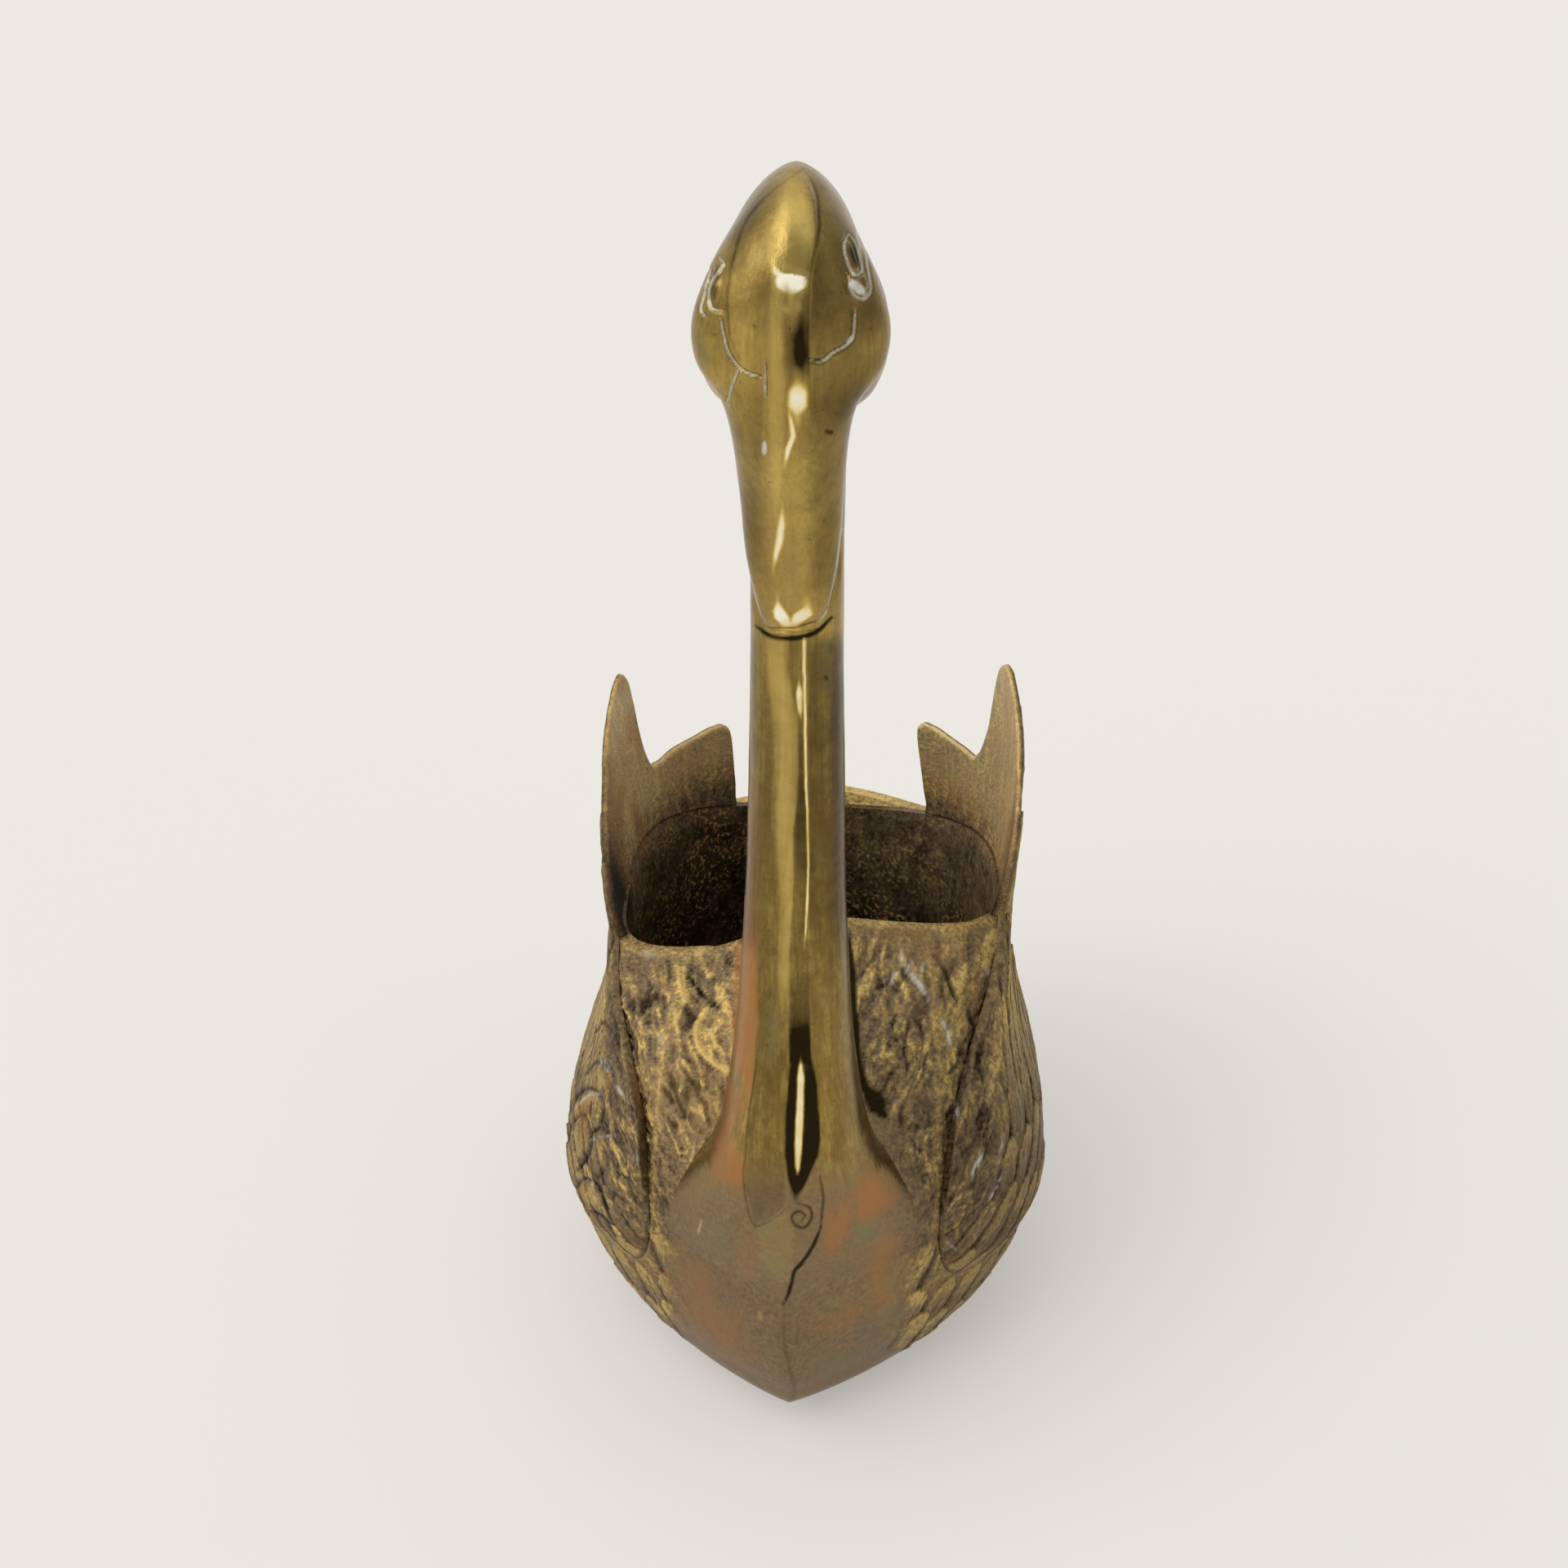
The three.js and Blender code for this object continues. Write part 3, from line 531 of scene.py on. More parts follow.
def grid_normals(grid, wrap=False):
    if wrap:
        du = np.roll(grid, -1, 1) - np.roll(grid, 1, 1)
    else:
        du = np.gradient(grid, axis=1)
    n = np.cross(du, np.gradient(grid, axis=0))
    return n / np.maximum(np.linalg.norm(n, axis=-1, keepdims=True), 1e-9)


def near_path(px, py, path, reach=FAR_PIXELS):
    """Pixels away from a path of pixels, and the place along it from 0 to 1. Past the reach it is far."""
    path = np.array(path, float)
    best, where = np.full(px.shape, FAR_PIXELS), np.zeros(px.shape)
    low, high = path.min(0) - reach, path.max(0) + reach
    close = (px > low[0]) & (px < high[0]) & (py > low[1]) & (py < high[1])
    px, py = px[close], py[close]
    found, place = np.full(px.shape, FAR_PIXELS), np.zeros(px.shape)
    run = np.concatenate([[0], np.cumsum(np.hypot(*np.diff(path, axis=0).T))])
    for k in range(len(path) - 1):
        d = path[k + 1] - path[k]
        t = np.clip(((px - path[k, 0]) * d[0] + (py - path[k, 1]) * d[1]) / (d @ d), 0, 1)
        away = np.hypot(px - path[k, 0] - t * d[0], py - path[k, 1] - t * d[1])
        nearer = away < found
        found = np.where(nearer, away, found)
        place = np.where(nearer, (run[k] + t * (run[k + 1] - run[k])) / run[-1], place)
    best[close], where[close] = found, place
    return best, where


def catmull(points, positions):
    """Points of a centripetal Catmull-Rom curve."""
    p = np.concatenate([[2 * points[0] - points[1]], points, [2 * points[-1] - points[-2]]])
    i = np.minimum(positions.astype(int), len(points) - 2)
    w = (positions - i)[:, None]
    a, b, c, d = p[i], p[i + 1], p[i + 2], p[i + 3]

    def gap(m, n):
        return np.maximum(np.linalg.norm(m - n, axis=-1, keepdims=True), 1e-6) ** 0.5

    t0, t1, t2 = gap(a, b), gap(b, c), gap(c, d)
    m1 = ((b - a) / t0 - (c - a) / (t0 + t1) + (c - b) / t1) * t1
    m2 = ((c - b) / t1 - (d - b) / (t1 + t2) + (d - c) / t2) * t1
    return b + m1 * w + (-3 * b + 3 * c - 2 * m1 - m2) * w ** 2 + (2 * b - 2 * c + m1 + m2) * w ** 3


def curved(path):
    """A smooth path through a path's points, with five steps between each two."""
    return catmull(np.array(path, float), np.linspace(0, len(path) - 1, 5 * (len(path) - 1) + 1))


# Relief of the feathers
# The smooth breast's left and right edge: rows of y and x in pixels
BREAST_LEFT_PIXELS = [
    (1180, 912), (1300, 905), (1380, 880), (1430, 840), (1500, 815), (1560, 822), (1640, 838), (1700, 700),
]
BREAST_RIGHT_PIXELS = [
    (1180, 1036), (1300, 1042), (1370, 1086), (1430, 1108), (1500, 1122), (1580, 1112), (1650, 1090),
    (1710, 1300),
]
BREAST_SOFT_PIXELS, BREAST_TOP_PIXELS, BREAST_WOBBLE_PIXELS = (-26, 30), (1150, 1200), 46
# Strokes of the front deck by place: height in mm, which is below 0 where sunken, then half width and path
# in pixels
DECK_MARKS = {
    "raised curls left of the neck": [
        (0.55, 3, [(829, 1180), (832, 1205), (838, 1222), (850, 1232)]),
        (0.6, 3.5, [(855, 1160), (857, 1176), (868, 1194)]), (0.45, 4, [(878, 1209), (885, 1213)]),
        (0.7, 4, [(864, 1237), (853, 1256), (856, 1281), (872, 1301), (893, 1312)]),
        (0.5, 3, [(891, 1222), (890, 1235), (898, 1249)]), (0.45, 3.5, [(828, 1242), (832, 1264)]),
        (0.35, 3, [(838, 1300), (850, 1318), (863, 1330)]), (0.3, 3, [(804, 1222), (806, 1242)]),
        (0.35, 2.5, [(868, 1262), (878, 1280), (892, 1294)]), (0.3, 2.5, [(798, 1180), (802, 1202)]),
    ],
    "sunken lines left of the neck": [
        (-0.6, 2, [(838, 1190), (850, 1205), (868, 1225), (880, 1232)]),
        (-0.5, 2, [(882, 1162), (895, 1180), (908, 1188)]),
        (-0.5, 2, [(840, 1234), (852, 1246), (862, 1250)]),
        (-0.5, 2.2, [(820, 1314), (828, 1340), (838, 1366)]), (-0.4, 2.2, [(806, 1322), (822, 1348)]),
        (-0.4, 2, [(838, 1312), (860, 1334), (868, 1330)]),
        (-0.45, 2, [(845, 1268), (862, 1300), (880, 1312)]),
    ],
    "raised strokes right of the neck": [
        (0.55, 3.5, [(1098, 1192), (1106, 1206), (1114, 1226)]), (0.35, 2.5, [(1052, 1150), (1046, 1176)]),
        (0.35, 2.5, [(1072, 1150), (1064, 1178)]), (0.3, 2.5, [(1088, 1150), (1080, 1172)]),
        (0.35, 3, [(1140, 1266), (1136, 1290), (1144, 1310)]), (0.35, 3, [(1118, 1192), (1128, 1216)]),
    ],
    "sunken lines right of the neck": [
        (-0.6, 2.2, [(1144, 1170), (1156, 1184), (1164, 1206), (1172, 1226)]),
        (-0.5, 2, [(1098, 1188), (1086, 1204), (1072, 1210)]),
        (-0.4, 2, [(1104, 1186), (1126, 1212), (1140, 1226)]),
        (-0.5, 2, [(1112, 1258), (1108, 1284), (1112, 1310)]), (-0.45, 2, [(1136, 1290), (1130, 1306)]),
        (-0.5, 2.2, [(1186, 1236), (1196, 1262), (1198, 1290)]),
    ],
    "last curl": [(0.3, 2.5, [(1086, 1270), (1080, 1292)])],
}
# Large feathers of the right flank: paths in pixels
FEATHER_OUTLINES = [
    [(698, 1360), (703, 1343), (716, 1332), (730, 1337), (737, 1354), (733, 1374)],
    [(693, 1396), (699, 1375), (712, 1365), (721, 1384), (719, 1412), (707, 1432)],
    [(722, 1388), (734, 1380), (745, 1398), (743, 1426), (730, 1442)],
    [(714, 1314), (726, 1300), (742, 1304), (753, 1324), (757, 1346)],
    [(702, 1456), (715, 1443), (730, 1454), (741, 1480)],
    [(748, 1440), (760, 1452), (769, 1480), (765, 1502)], [(722, 1484), (736, 1490), (752, 1514)],
    [(744, 1350), (758, 1362), (764, 1390), (756, 1414)],
    [(724, 1262), (736, 1252), (748, 1266), (756, 1290)], [(771, 1410), (782, 1432), (786, 1462)],
]
FEATHER_CROWNS = [
    [(712, 1350), (722, 1344)], [(704, 1388), (708, 1412)], [(732, 1400), (734, 1424)],
    [(732, 1314), (744, 1328)], [(714, 1458), (724, 1472)], [(752, 1372), (754, 1396)],
]
FLANK_MARKS = {
    "outlines": [(-0.55, 2.2, path) for path in FEATHER_OUTLINES],
    "crowns": [(0.35, 5.0, path) for path in FEATHER_CROWNS],
}
# Heights in mm of what the deck, the flanks and the whole outside are worked with
WRINKLES, SMALL_WRINKLES, WORMS, CRACKS, DECK_GRIT, DOTS = 0.24, 0.3, 0.24, 0.3, 0.3, 0.22
FEATHER_LAP, FEATHER_CROWN, FEATHER_EDGE, BARBS, HAIRS, UNEQUAL = 0.5, 0.24, 0.5, 0.24, 0.14, 0.16
FINE_GRIT, COARSE_GRIT, WAVES = 0.12, 0.16, 0.10


def listed(places):
    """All marks of a table that keeps them by place."""
    return [mark for marks in places.values() for mark in marks]


def strokes(points, marks):
    """Summed strokes, each with an amount, a half width in pixels and a path in pixels."""
    px, py = pixels(points)
    total = np.zeros(px.shape)
    for amount, width, path in listed(marks):
        total = total + amount * np.exp(-(near_path(px, py, curved(path), 3 * width)[0] / width) ** 2)
    return total


def breast_mask(points):
    """1 on the smooth breast below the neck, 0 on the feathers."""
    px, py = pixels(points)
    px = px + BREAST_WOBBLE_PIXELS * (fractal(points, 9, 3) - 0.5)
    left = np.interp(py, *np.array(BREAST_LEFT_PIXELS).T)
    right = np.interp(py, *np.array(BREAST_RIGHT_PIXELS).T)
    inside = smooth(px - left, *BREAST_SOFT_PIXELS) * smooth(right - px, *BREAST_SOFT_PIXELS)
    return inside * smooth(py, *BREAST_TOP_PIXELS) * smooth(-points[..., 1], 8, 30)


def shingles(p, q, length, width, seed):
    """Lapped feathers: height from 0 to 1, place across each one, and its own number."""
    row = np.floor(p / length) - 1
    height = own = local = None
    for _ in range(3):
        half = 0.5 * np.mod(row, 2)
        column = np.floor(q / width + half)
        across = 2 * (q / width + half - column) - 1
        number = hashed(row, column, seed)
        tip = (row + 1.12 + 0.5 * (1 - across ** 2) + 0.3 * (number - 0.5)) * length
        t = np.clip((p - row * length) / (tip - row * length), 0, 1.5)
        if height is None:
            height, own, local, done = t, number, across, p < tip
        else:
            height = np.where(done, height, t)
            own = np.where(done, own, number)
            local = np.where(done, local, across)
            done = done | (p < tip)
        row = row + 1
    return np.clip(height, 0, 1), local, own


def deck_relief(points):
    """Hammered strokes that run down and in towards the breast, with a few raised curls."""
    x, y, z = np.moveaxis(points, -1, 0)
    run = (97 - z) * 1.1
    warp = 3.4 * (fractal(points, 12, 1) - 0.5) + 1.5 * (noise(points, 4, 4) - 0.5)
    across = x + np.where(x < 0, 0.55, 0.28) * np.tanh(x / 14) * run + 1.6 * warp
    wrinkle = ridged(across / 2.3, (run + warp) / 6.0, 11)
    small = ridged(across / 1.25 + 0.5 * warp, run / 2.8, 12)
    worm = smooth(ridged(across / 5.2, run / 9.5, 13), 0.74, 0.96)
    crack = smooth(ridged(across / 5.8 + 7, run / 8.0, 14), 0.84, 0.97)
    grit = fractal(points, 1.15, 8, 2) - 0.5
    dots = ridged(across / 0.95 + 3, run / 1.2 + 0.6 * warp, 15)
    relief = WRINKLES * (wrinkle ** 1.4 - 0.42) + SMALL_WRINKLES * (small - 0.5) + WORMS * worm
    relief = relief - CRACKS * crack + DECK_GRIT * grit + DOTS * (dots - 0.5)
    return relief + strokes(points, DECK_MARKS)


def flank_relief(u, v, points):
    """Large lapped feathers with sunken outlines and long fine barbs. u, v in mm along and up the side."""
    warp = 4.6 * (fractal(points, 17, 5) - 0.5)
    fine = 0.9 * (noise(points, 3.5, 6) - 0.5)
    q = (u - 0.30 * v) / (1 + 0.012 * v) + warp
    along = 1.05 * v + 0.28 * u + 0.8 * warp
    flight = smooth(v + 0.4 * u, 92, 112)
    height, local, own = shingles(along, q, 13.0, 7.6, 31)
    long_height, long_local, long_own = shingles(along, q, 46.0, 4.6, 32)
    height = mix(height, long_height, flight)
    local = mix(local, long_local, flight)
    own = mix(own, long_own, flight)
    outline = smooth(np.abs(local), 0.72, 1.0)
    barbs = ridged((q + fine) / 0.95, along / 9.0 + 0.4 * np.abs(local), 33)
    hair = ridged((q + 0.6 * fine) / 0.6, along / 5.0, 34)
    crown = FEATHER_CROWN * (1 - local ** 2)
    relief = FEATHER_LAP * (height ** 1.6 - 0.35) + crown - FEATHER_EDGE * outline
    relief = relief + BARBS * (barbs - 0.5) + HAIRS * (hair - 0.5)
    right_flank = smooth(-points[..., 0], 36, 44) * smooth(20 - points[..., 1], 0, 8)
    return relief + UNEQUAL * (own - 0.5) + right_flank * strokes(points, FLANK_MARKS)


def body_relief(u, v, points):
    """Relief of the whole outside in mm. u runs back from the bow and v up, both in mm."""
    x, y, z = np.moveaxis(points, -1, 0)
    deck = smooth(z, 40, 54) * smooth(-y, -6, 14) * (1 - smooth(np.abs(x), 44, 50))
    worked = mix(flank_relief(u, v, points), deck_relief(points), deck)
    grit = FINE_GRIT * (fractal(points, 1.0, 9, 2) - 0.5) + COARSE_GRIT * (fractal(points, 3.0, 12, 2) - 0.5)
    still = 1 - breast_mask(points)
    under = 0.35 + 0.65 * smooth(z, 2, 16)
    return (worked + grit) * still * under + WAVES * (fractal(points, 14, 2) - 0.5)


def tone(relief):
    """The value that the aged finish reads: 0 in the hollows, 1 on the heights."""
    return np.clip(0.44 + relief / 0.95, LEAST_TONE, 1)


# Hull
SKIN_COLUMNS, SKIN_STEPS, CAVITY_COLUMNS, CAVITY_STEPS = 360, 14, 150, 7
BRAZE_HALF_WIDTH, BRAZE_RELIEF, SIDE_LENGTH = 1.5, 0.33, 190
RIM_OPEN_TO, RIM_BRIGHT, RIM_DULL = 0.32, 0.35, -0.12
OUTSIDE_SINKS, CUT_ABOVE_RIM = 0.25, 9.0


def hull_rings(shares_of_rim, out, columns):
    left = body_point(1, np.arange(columns)[None] / columns, shares_of_rim[:, None] * RIM, out)
    right = body_point(-1, np.arange(columns, 0, -1)[None] / columns, shares_of_rim[:, None] * RIM, out)
    return np.concatenate([left, right], 1)


def between(levels, steps):
    spread = [np.linspace(a, b, steps, endpoint=False) for a, b in zip(levels, levels[1:])]
    return np.concatenate(spread + [[levels[-1]]])


def back_from_bow(rings):
    """Distance back from the bow on either side, in mm."""
    half = rings.shape[1] // 2
    steps = np.linalg.norm(np.diff(rings, axis=1, append=rings[:, :1]), axis=-1)
    left = np.concatenate([np.zeros((len(rings), 1)), np.cumsum(steps[:, :-1], 1)], 1)
    total = steps.sum(1, keepdims=True)
    return np.where(np.arange(rings.shape[1])[None] <= half, left, total - left)


def outer_skin():
    """The hull's outside up to the rim, with its carving and a fillet of braze along the wings."""
    columns = int(SKIN_COLUMNS * FINE)
    rings = hull_rings(between(HULL_LEVELS, int(SKIN_STEPS * FINE)), 0.0, columns)
    share = np.concatenate([np.arange(columns), np.arange(columns, 0, -1)]) / columns
    up = np.arange(len(rings))[:, None] / (len(rings) - 1)
    z = rings[..., 2]
    relief = body_relief(back_from_bow(rings), z, rings)
    past_wing_front = (share - WING_LINES[0][0])[None] * SIDE_LENGTH
    beside_wing = np.minimum(past_wing_front, z - wing_table(share)[None, :, 0] * RIM)
    braze = np.exp(-(np.clip(beside_wing + 0.4, -9, 9) / BRAZE_HALF_WIDTH) ** 2) * (share < WING_REAR)[None]
    relief = mix(relief, np.maximum(relief, BRAZE_RELIEF), braze)
    edge = smooth(up, 0.0, 0.03) * (1 - 0.8 * smooth(up, 0.97, 1.0))
    relief = relief * edge
    rings = rings + grid_normals(rings, True) * (relief - OUTSIDE_SINKS)[..., None] * edge[..., None]
    open_rim = mix(RIM_DULL, RIM_BRIGHT, smooth(RIM_OPEN_TO - share, 0, 0.02))[None]
    rim_light = open_rim * smooth(up, 0.985, 1.0)
    nothing = np.zeros(relief.shape)
    tones = np.clip(tone(relief) + rim_light, LEAST_TONE, 1)
    return loft("skin", rings, {"relief": tones, "inside": nothing, "root": nothing})


def bowl_cavity():
    """The hollow that is cut out of the hull, with a flat floor and roughly cast sides."""
    columns = int(CAVITY_COLUMNS * FINE)
    levels = between(HULL_LEVELS[2:], int(CAVITY_STEPS * FINE))
    sides = hull_rings(levels, -WALL, columns)
    bottom = hull_rings(np.array([FLOOR / RIM]), -WALL, columns)
    bottom[..., 2] = FLOOR
    top = hull_rings(np.array([1.0]), -WALL, columns) + np.array([0, 0, CUT_ABOVE_RIM])
    rough = 0.55 * (fractal(sides, 2.6, 41) - 0.5) + 0.5 * (fractal(sides, 7, 42) - 0.5)
    rough = rough * (1 - smooth(levels, 0.93, 1.0))[:, None]
    sides = sides + grid_normals(sides, True) * rough[..., None]
    row = np.ones((1, rough.shape[1]))
    tones = np.concatenate([0.4 * row, np.clip(0.5 + rough, LEAST_TONE, 1), 0.5 * row])
    values = {"relief": tones, "inside": np.ones(tones.shape), "root": 0 * tones}
    return loft("cavity", np.concatenate([bottom, sides, top]), values)


# Neck and head
SWEEP_STEPS, SWEEP_SIDES, VOXEL, RELAX_FACTOR, RELAX_ROUNDS = 14, 128, 0.32, 0.5, 8
RIGHT_EYE_SHIFT = np.array([-1.0, 1.5, -1.0])
HEAD_ABOVE, HEAD_AHEAD = 200, (56, 62)
LINE_PIXELS, LINE_REACH_PIXELS, EDGE_PIXELS = 2.6, 12, 2.4
BROW_STEP_PIXELS, BROW_FADE_PIXELS, BROW_TOP_PIXELS, BROW_END_PIXELS = (-3, 4), 26, (200, 240), (450, 490)
LINE_DEPTH, STEP_DEPTH, CROWN_DEPTH, CROWN_HEIGHTS = 0.5, 0.45, 0.2, (270, 297)
BREAST_CREASE_PIXELS, BREAST_CREASE_AHEAD = (1478, 1510), (20, 40)
FAR = 400.0


def sweep(rows, depth, steps, sides):
    """Rings of a bent limb through rows like those of the neck. The depths are shares of one depth in mm."""
    rows = np.array(rows, float)
    centres = np.stack([-NECK_AHEAD - rows[:, 0], rows[:, 1]], -1)
    position = np.linspace(0, len(rows) - 1, (len(rows) - 1) * steps + 1)
    middle = catmull(centres, position)
    nearby = 1e-3
    tangent = catmull(centres, np.minimum(position + nearby, len(rows) - 1))
    tangent = tangent - catmull(centres, np.maximum(position - nearby, 0))
    tangent = tangent / np.linalg.norm(tangent, axis=-1, keepdims=True)
    outside = np.stack([tangent[:, 1], -tangent[:, 0]], -1)
    sizes = table(np.concatenate([np.arange(len(rows))[:, None], rows[:, 2:]], 1))(position)
    half, out_depth, in_depth, out_round, in_round = [sizes[:, k][:, None] for k in range(5)]
    angle = np.linspace(0, 2 * np.pi, sides, endpoint=False)[None]
    inward = np.sin(angle) < 0
    square = np.where(inward, in_round, out_round)

    def power(value):
        return np.sign(value) * np.abs(value) ** (2 / square)

    reach = depth * np.where(inward, in_depth, out_depth) * power(np.sin(angle))
    y = middle[:, 0][:, None] + reach * outside[:, 0][:, None]
    z = middle[:, 1][:, None] + reach * outside[:, 1][:, None]
    return np.stack([half * power(np.cos(angle)), y, z], -1) + SHIFT


def plain(rings):
    return {"relief": np.full(rings.shape[:2], 0.5), "inside": np.zeros(rings.shape[:2])}


def eyeball(side, rows=24, columns=36):
    polar = np.linspace(0.02, np.pi - 0.02, rows)[:, None]
    turned = np.linspace(0, 2 * np.pi, columns, endpoint=False)[None]
    out = np.sin(polar)
    points = np.stack([out * np.cos(turned), out * np.sin(turned), -np.cos(polar) + 0 * turned], -1)
    return points * EYE_R + np.array([side * EYE_AT[0], -NECK_AHEAD - EYE_AT[1], EYE_AT[2]]) + SHIFT


def fused_swan():
    """Neck, head, skull and eyes as one mesh with rounded creases."""
    steps, sides = int(SWEEP_STEPS * FINE), int(SWEEP_SIDES * FINE)
    limb = sweep(NECK_ROWS + HEAD_ROWS, NECK_D, steps, sides)
    bend = (len(NECK_ROWS) - 1) * steps
    neck, head, skull = limb[:bend + 1], limb[bend:], sweep(SKULL_ROWS, SKULL_D, steps, sides)
    fused = loft("swan", neck, plain(neck))
    for rings in (head, skull, eyeball(1), eyeball(-1) + RIGHT_EYE_SHIFT):
        cut(fused, loft("added", rings, plain(rings)), "UNION")
    fuse = fused.modifiers.new("fuse", "REMESH")
    fuse.mode, fuse.voxel_size, fuse.adaptivity = "VOXEL", VOXEL * MM / FINE, 0.0
    relax = fused.modifiers.new("relax", "SMOOTH")
    relax.factor, relax.iterations = RELAX_FACTOR, RELAX_ROUNDS
    return settle(fused)


# Carved lines of the head, as seen in the picture: paths in pixels
HEAD_LINES = {
    "mask, left side": [(882, 392), (886, 412), (892, 432), (902, 447), (912, 455), (932, 462)],
    "mask, left branch": [(904, 452), (896, 472), (889, 495)],
    "mask, middle branch": [(936, 445), (937, 462), (937, 487)],
    "mask, right side": [(1047, 380), (1044, 412), (1037, 422), (1020, 432), (1007, 442), (992, 442)],
    "left eye": [(880, 316), (886, 322), (872, 345), (868, 365), (872, 377), (885, 380)],
    "left eyelid": [(870, 330), (862, 362), (858, 380), (863, 386)],
    "right eye": [(1039, 286), (1047, 297), (1053, 315), (1056, 332), (1047, 337), (1040, 327),
        (1035, 310), (1034, 297), (1039, 286)],
    "right eyelid": [(1054, 285), (1063, 330), (1066, 355), (1058, 366), (1045, 360), (1038, 335)],
}
BILL_EDGE = [
    (1033, 650), (1031, 667), (1027, 705), (1019, 738), (1002, 763), (975, 772), (945, 773), (930, 766),
    (919, 718),
]
BROW_RIDGE = [
    (985, 205), (1000, 243), (1002, 280), (997, 310), (992, 340), (990, 392), (990, 442), (991, 475),
]


def carve_head(mesh):
    """Cuts the lines of the mask and the eyes, the bill's edge and a step beside the brow's ridge."""
    points, normals = co_of(mesh), normals_of(mesh)
    px, py = pixels(points)
    facing = smooth(normals @ BACK, -0.05, 0.15)
    on_head = (points[:, 2] > HEAD_ABOVE) * smooth(-points[:, 1], *HEAD_AHEAD)
    groove = np.zeros(len(px))
    for path in HEAD_LINES.values():
        away = near_path(px, py, curved(path), LINE_REACH_PIXELS)[0]
        groove = np.maximum(groove, np.exp(-(away / LINE_PIXELS) ** 2) * facing * on_head)
    away = near_path(px, py, BILL_EDGE)[0]
    groove = np.maximum(groove, 0.8 * np.exp(-(away / EDGE_PIXELS) ** 2) * facing)
    beside = px - np.interp(py, *np.array(BROW_RIDGE)[:, ::-1].T)
    step = smooth(beside, *BROW_STEP_PIXELS) * np.exp(-np.maximum(beside, 0) / BROW_FADE_PIXELS)
    step = step * smooth(py, *BROW_TOP_PIXELS) * (1 - smooth(py, *BROW_END_PIXELS)) * facing * on_head
    waves = 0.22 * (fractal(points, 16, 51) - 0.5) + 0.07 * (fractal(points, 5, 52) - 0.5)
    crown = CROWN_DEPTH * smooth(points[:, 2], *CROWN_HEIGHTS)
    move = waves - LINE_DEPTH * groove - STEP_DEPTH * step - crown
    set_co(mesh, points + normals * move[:, None])
    set_value(mesh, "relief", 0.52 - 0.5 * groove)
    set_value(mesh, "inside", np.zeros(len(px)))
    set_value(mesh, "root", np.ones(len(px)))


def soften(thing, chosen, reach, rounds):
    """Smooths a mesh around the crease where its root value changes, at the points chosen."""
    mesh = thing.data
    a, b = edge_ends(mesh)
    points, root = co_of(mesh), value_of(mesh, "root")
    count = len(points)
    seam = np.abs(root[a] - root[b]) > 0.3
    near = np.zeros(count)
    near[a[seam]] = near[b[seam]] = 1
    for _ in range(reach):
        grown = near.copy()
        grown[a] = np.maximum(grown[a], 0.85 * near[b])
        grown[b] = np.maximum(grown[b], 0.85 * near[a])
        near = grown
    near = (near * chosen(points))[:, None]
    degree = np.maximum(np.bincount(a, minlength=count) + np.bincount(b, minlength=count), 1)
    for _ in range(rounds):
        total = [np.bincount(a, points[b, k], count) + np.bincount(b, points[a, k], count) for k in range(3)]
        points = mix(points, np.stack(total, -1) / degree[:, None], 0.5 * near)
    set_co(mesh, points)


def breast_crease(points):
    """1 at the front of the crease between the neck's foot and the hull, 0 elsewhere."""
    return smooth(pixels(points)[1], *BREAST_CREASE_PIXELS) * smooth(-points[:, 1], *BREAST_CREASE_AHEAD)


swan = fused_swan()
carve_head(swan.data)

# The swan above the joint is the piece neck_and_head, and what lies below the joint belongs to the hull
above_joint = (-FAR, -FAR, 0), (FAR, FAR, FAR), JOINT_TILT, (0, -NECK_AHEAD + SHIFT[1], JOINT_Z)
stump_of_neck = copy_of(swan, "stump")
cut(swan, block(*above_joint), "INTERSECT")
cut(stump_of_neck, block(*above_joint), "DIFFERENCE")

hull = outer_skin()
cavity = bowl_cavity()
cut(hull, stump_of_neck, "UNION")
soften(hull, breast_crease, reach=6, rounds=24)
cut(hull, cavity, "DIFFERENCE")
halves = {}
for name, side in (("left_hull_half", 1), ("right_hull_half", -1)):
    low, high = sorted((0.0, side * FAR))
    halves[name] = cut(copy_of(hull, name), block((low, -FAR, -FAR), (high, FAR, FAR)), "INTERSECT")
bpy.data.objects.remove(hull)


# Wings and tail
WING_ROWS, WING_COLUMNS, TAIL_COLUMNS, TAIL_ROWS = 190, 420, 170, 60
LAP_GAP, WING_STARTS_BACK, NOTCH_FROM, NOTCH_AT, NOTCH_TO = 0.3, 52, 0.59, 0.64, 0.715
EDGE_ROUND, EDGE_BRIGHT, EDGE_BRIGHT_WIDTH = 1.6, 0.16, 1.4
FRONT_RIDGE, FRONT_RIDGE_AT, FRONT_RIDGE_WIDTH = 0.55, 1.8, 1.3
OUTSIDE_LOWER, WAIST_LOWER, THIN_BY = 0.65, 0.9, 0.72
CLEAR, CLEAR_STEPS, CLEAR_COLUMNS = 0.12, 5, 130


def lap_out(height, thickness):
    """How far out a plate's outside lies: over the hull's skin below the rim, in line with it above."""
    standing = smooth(height, 0.75 * RIM, 1.2 * RIM)
    return mix(LAP_GAP + thickness, WING_EDGE - HEEL, standing)


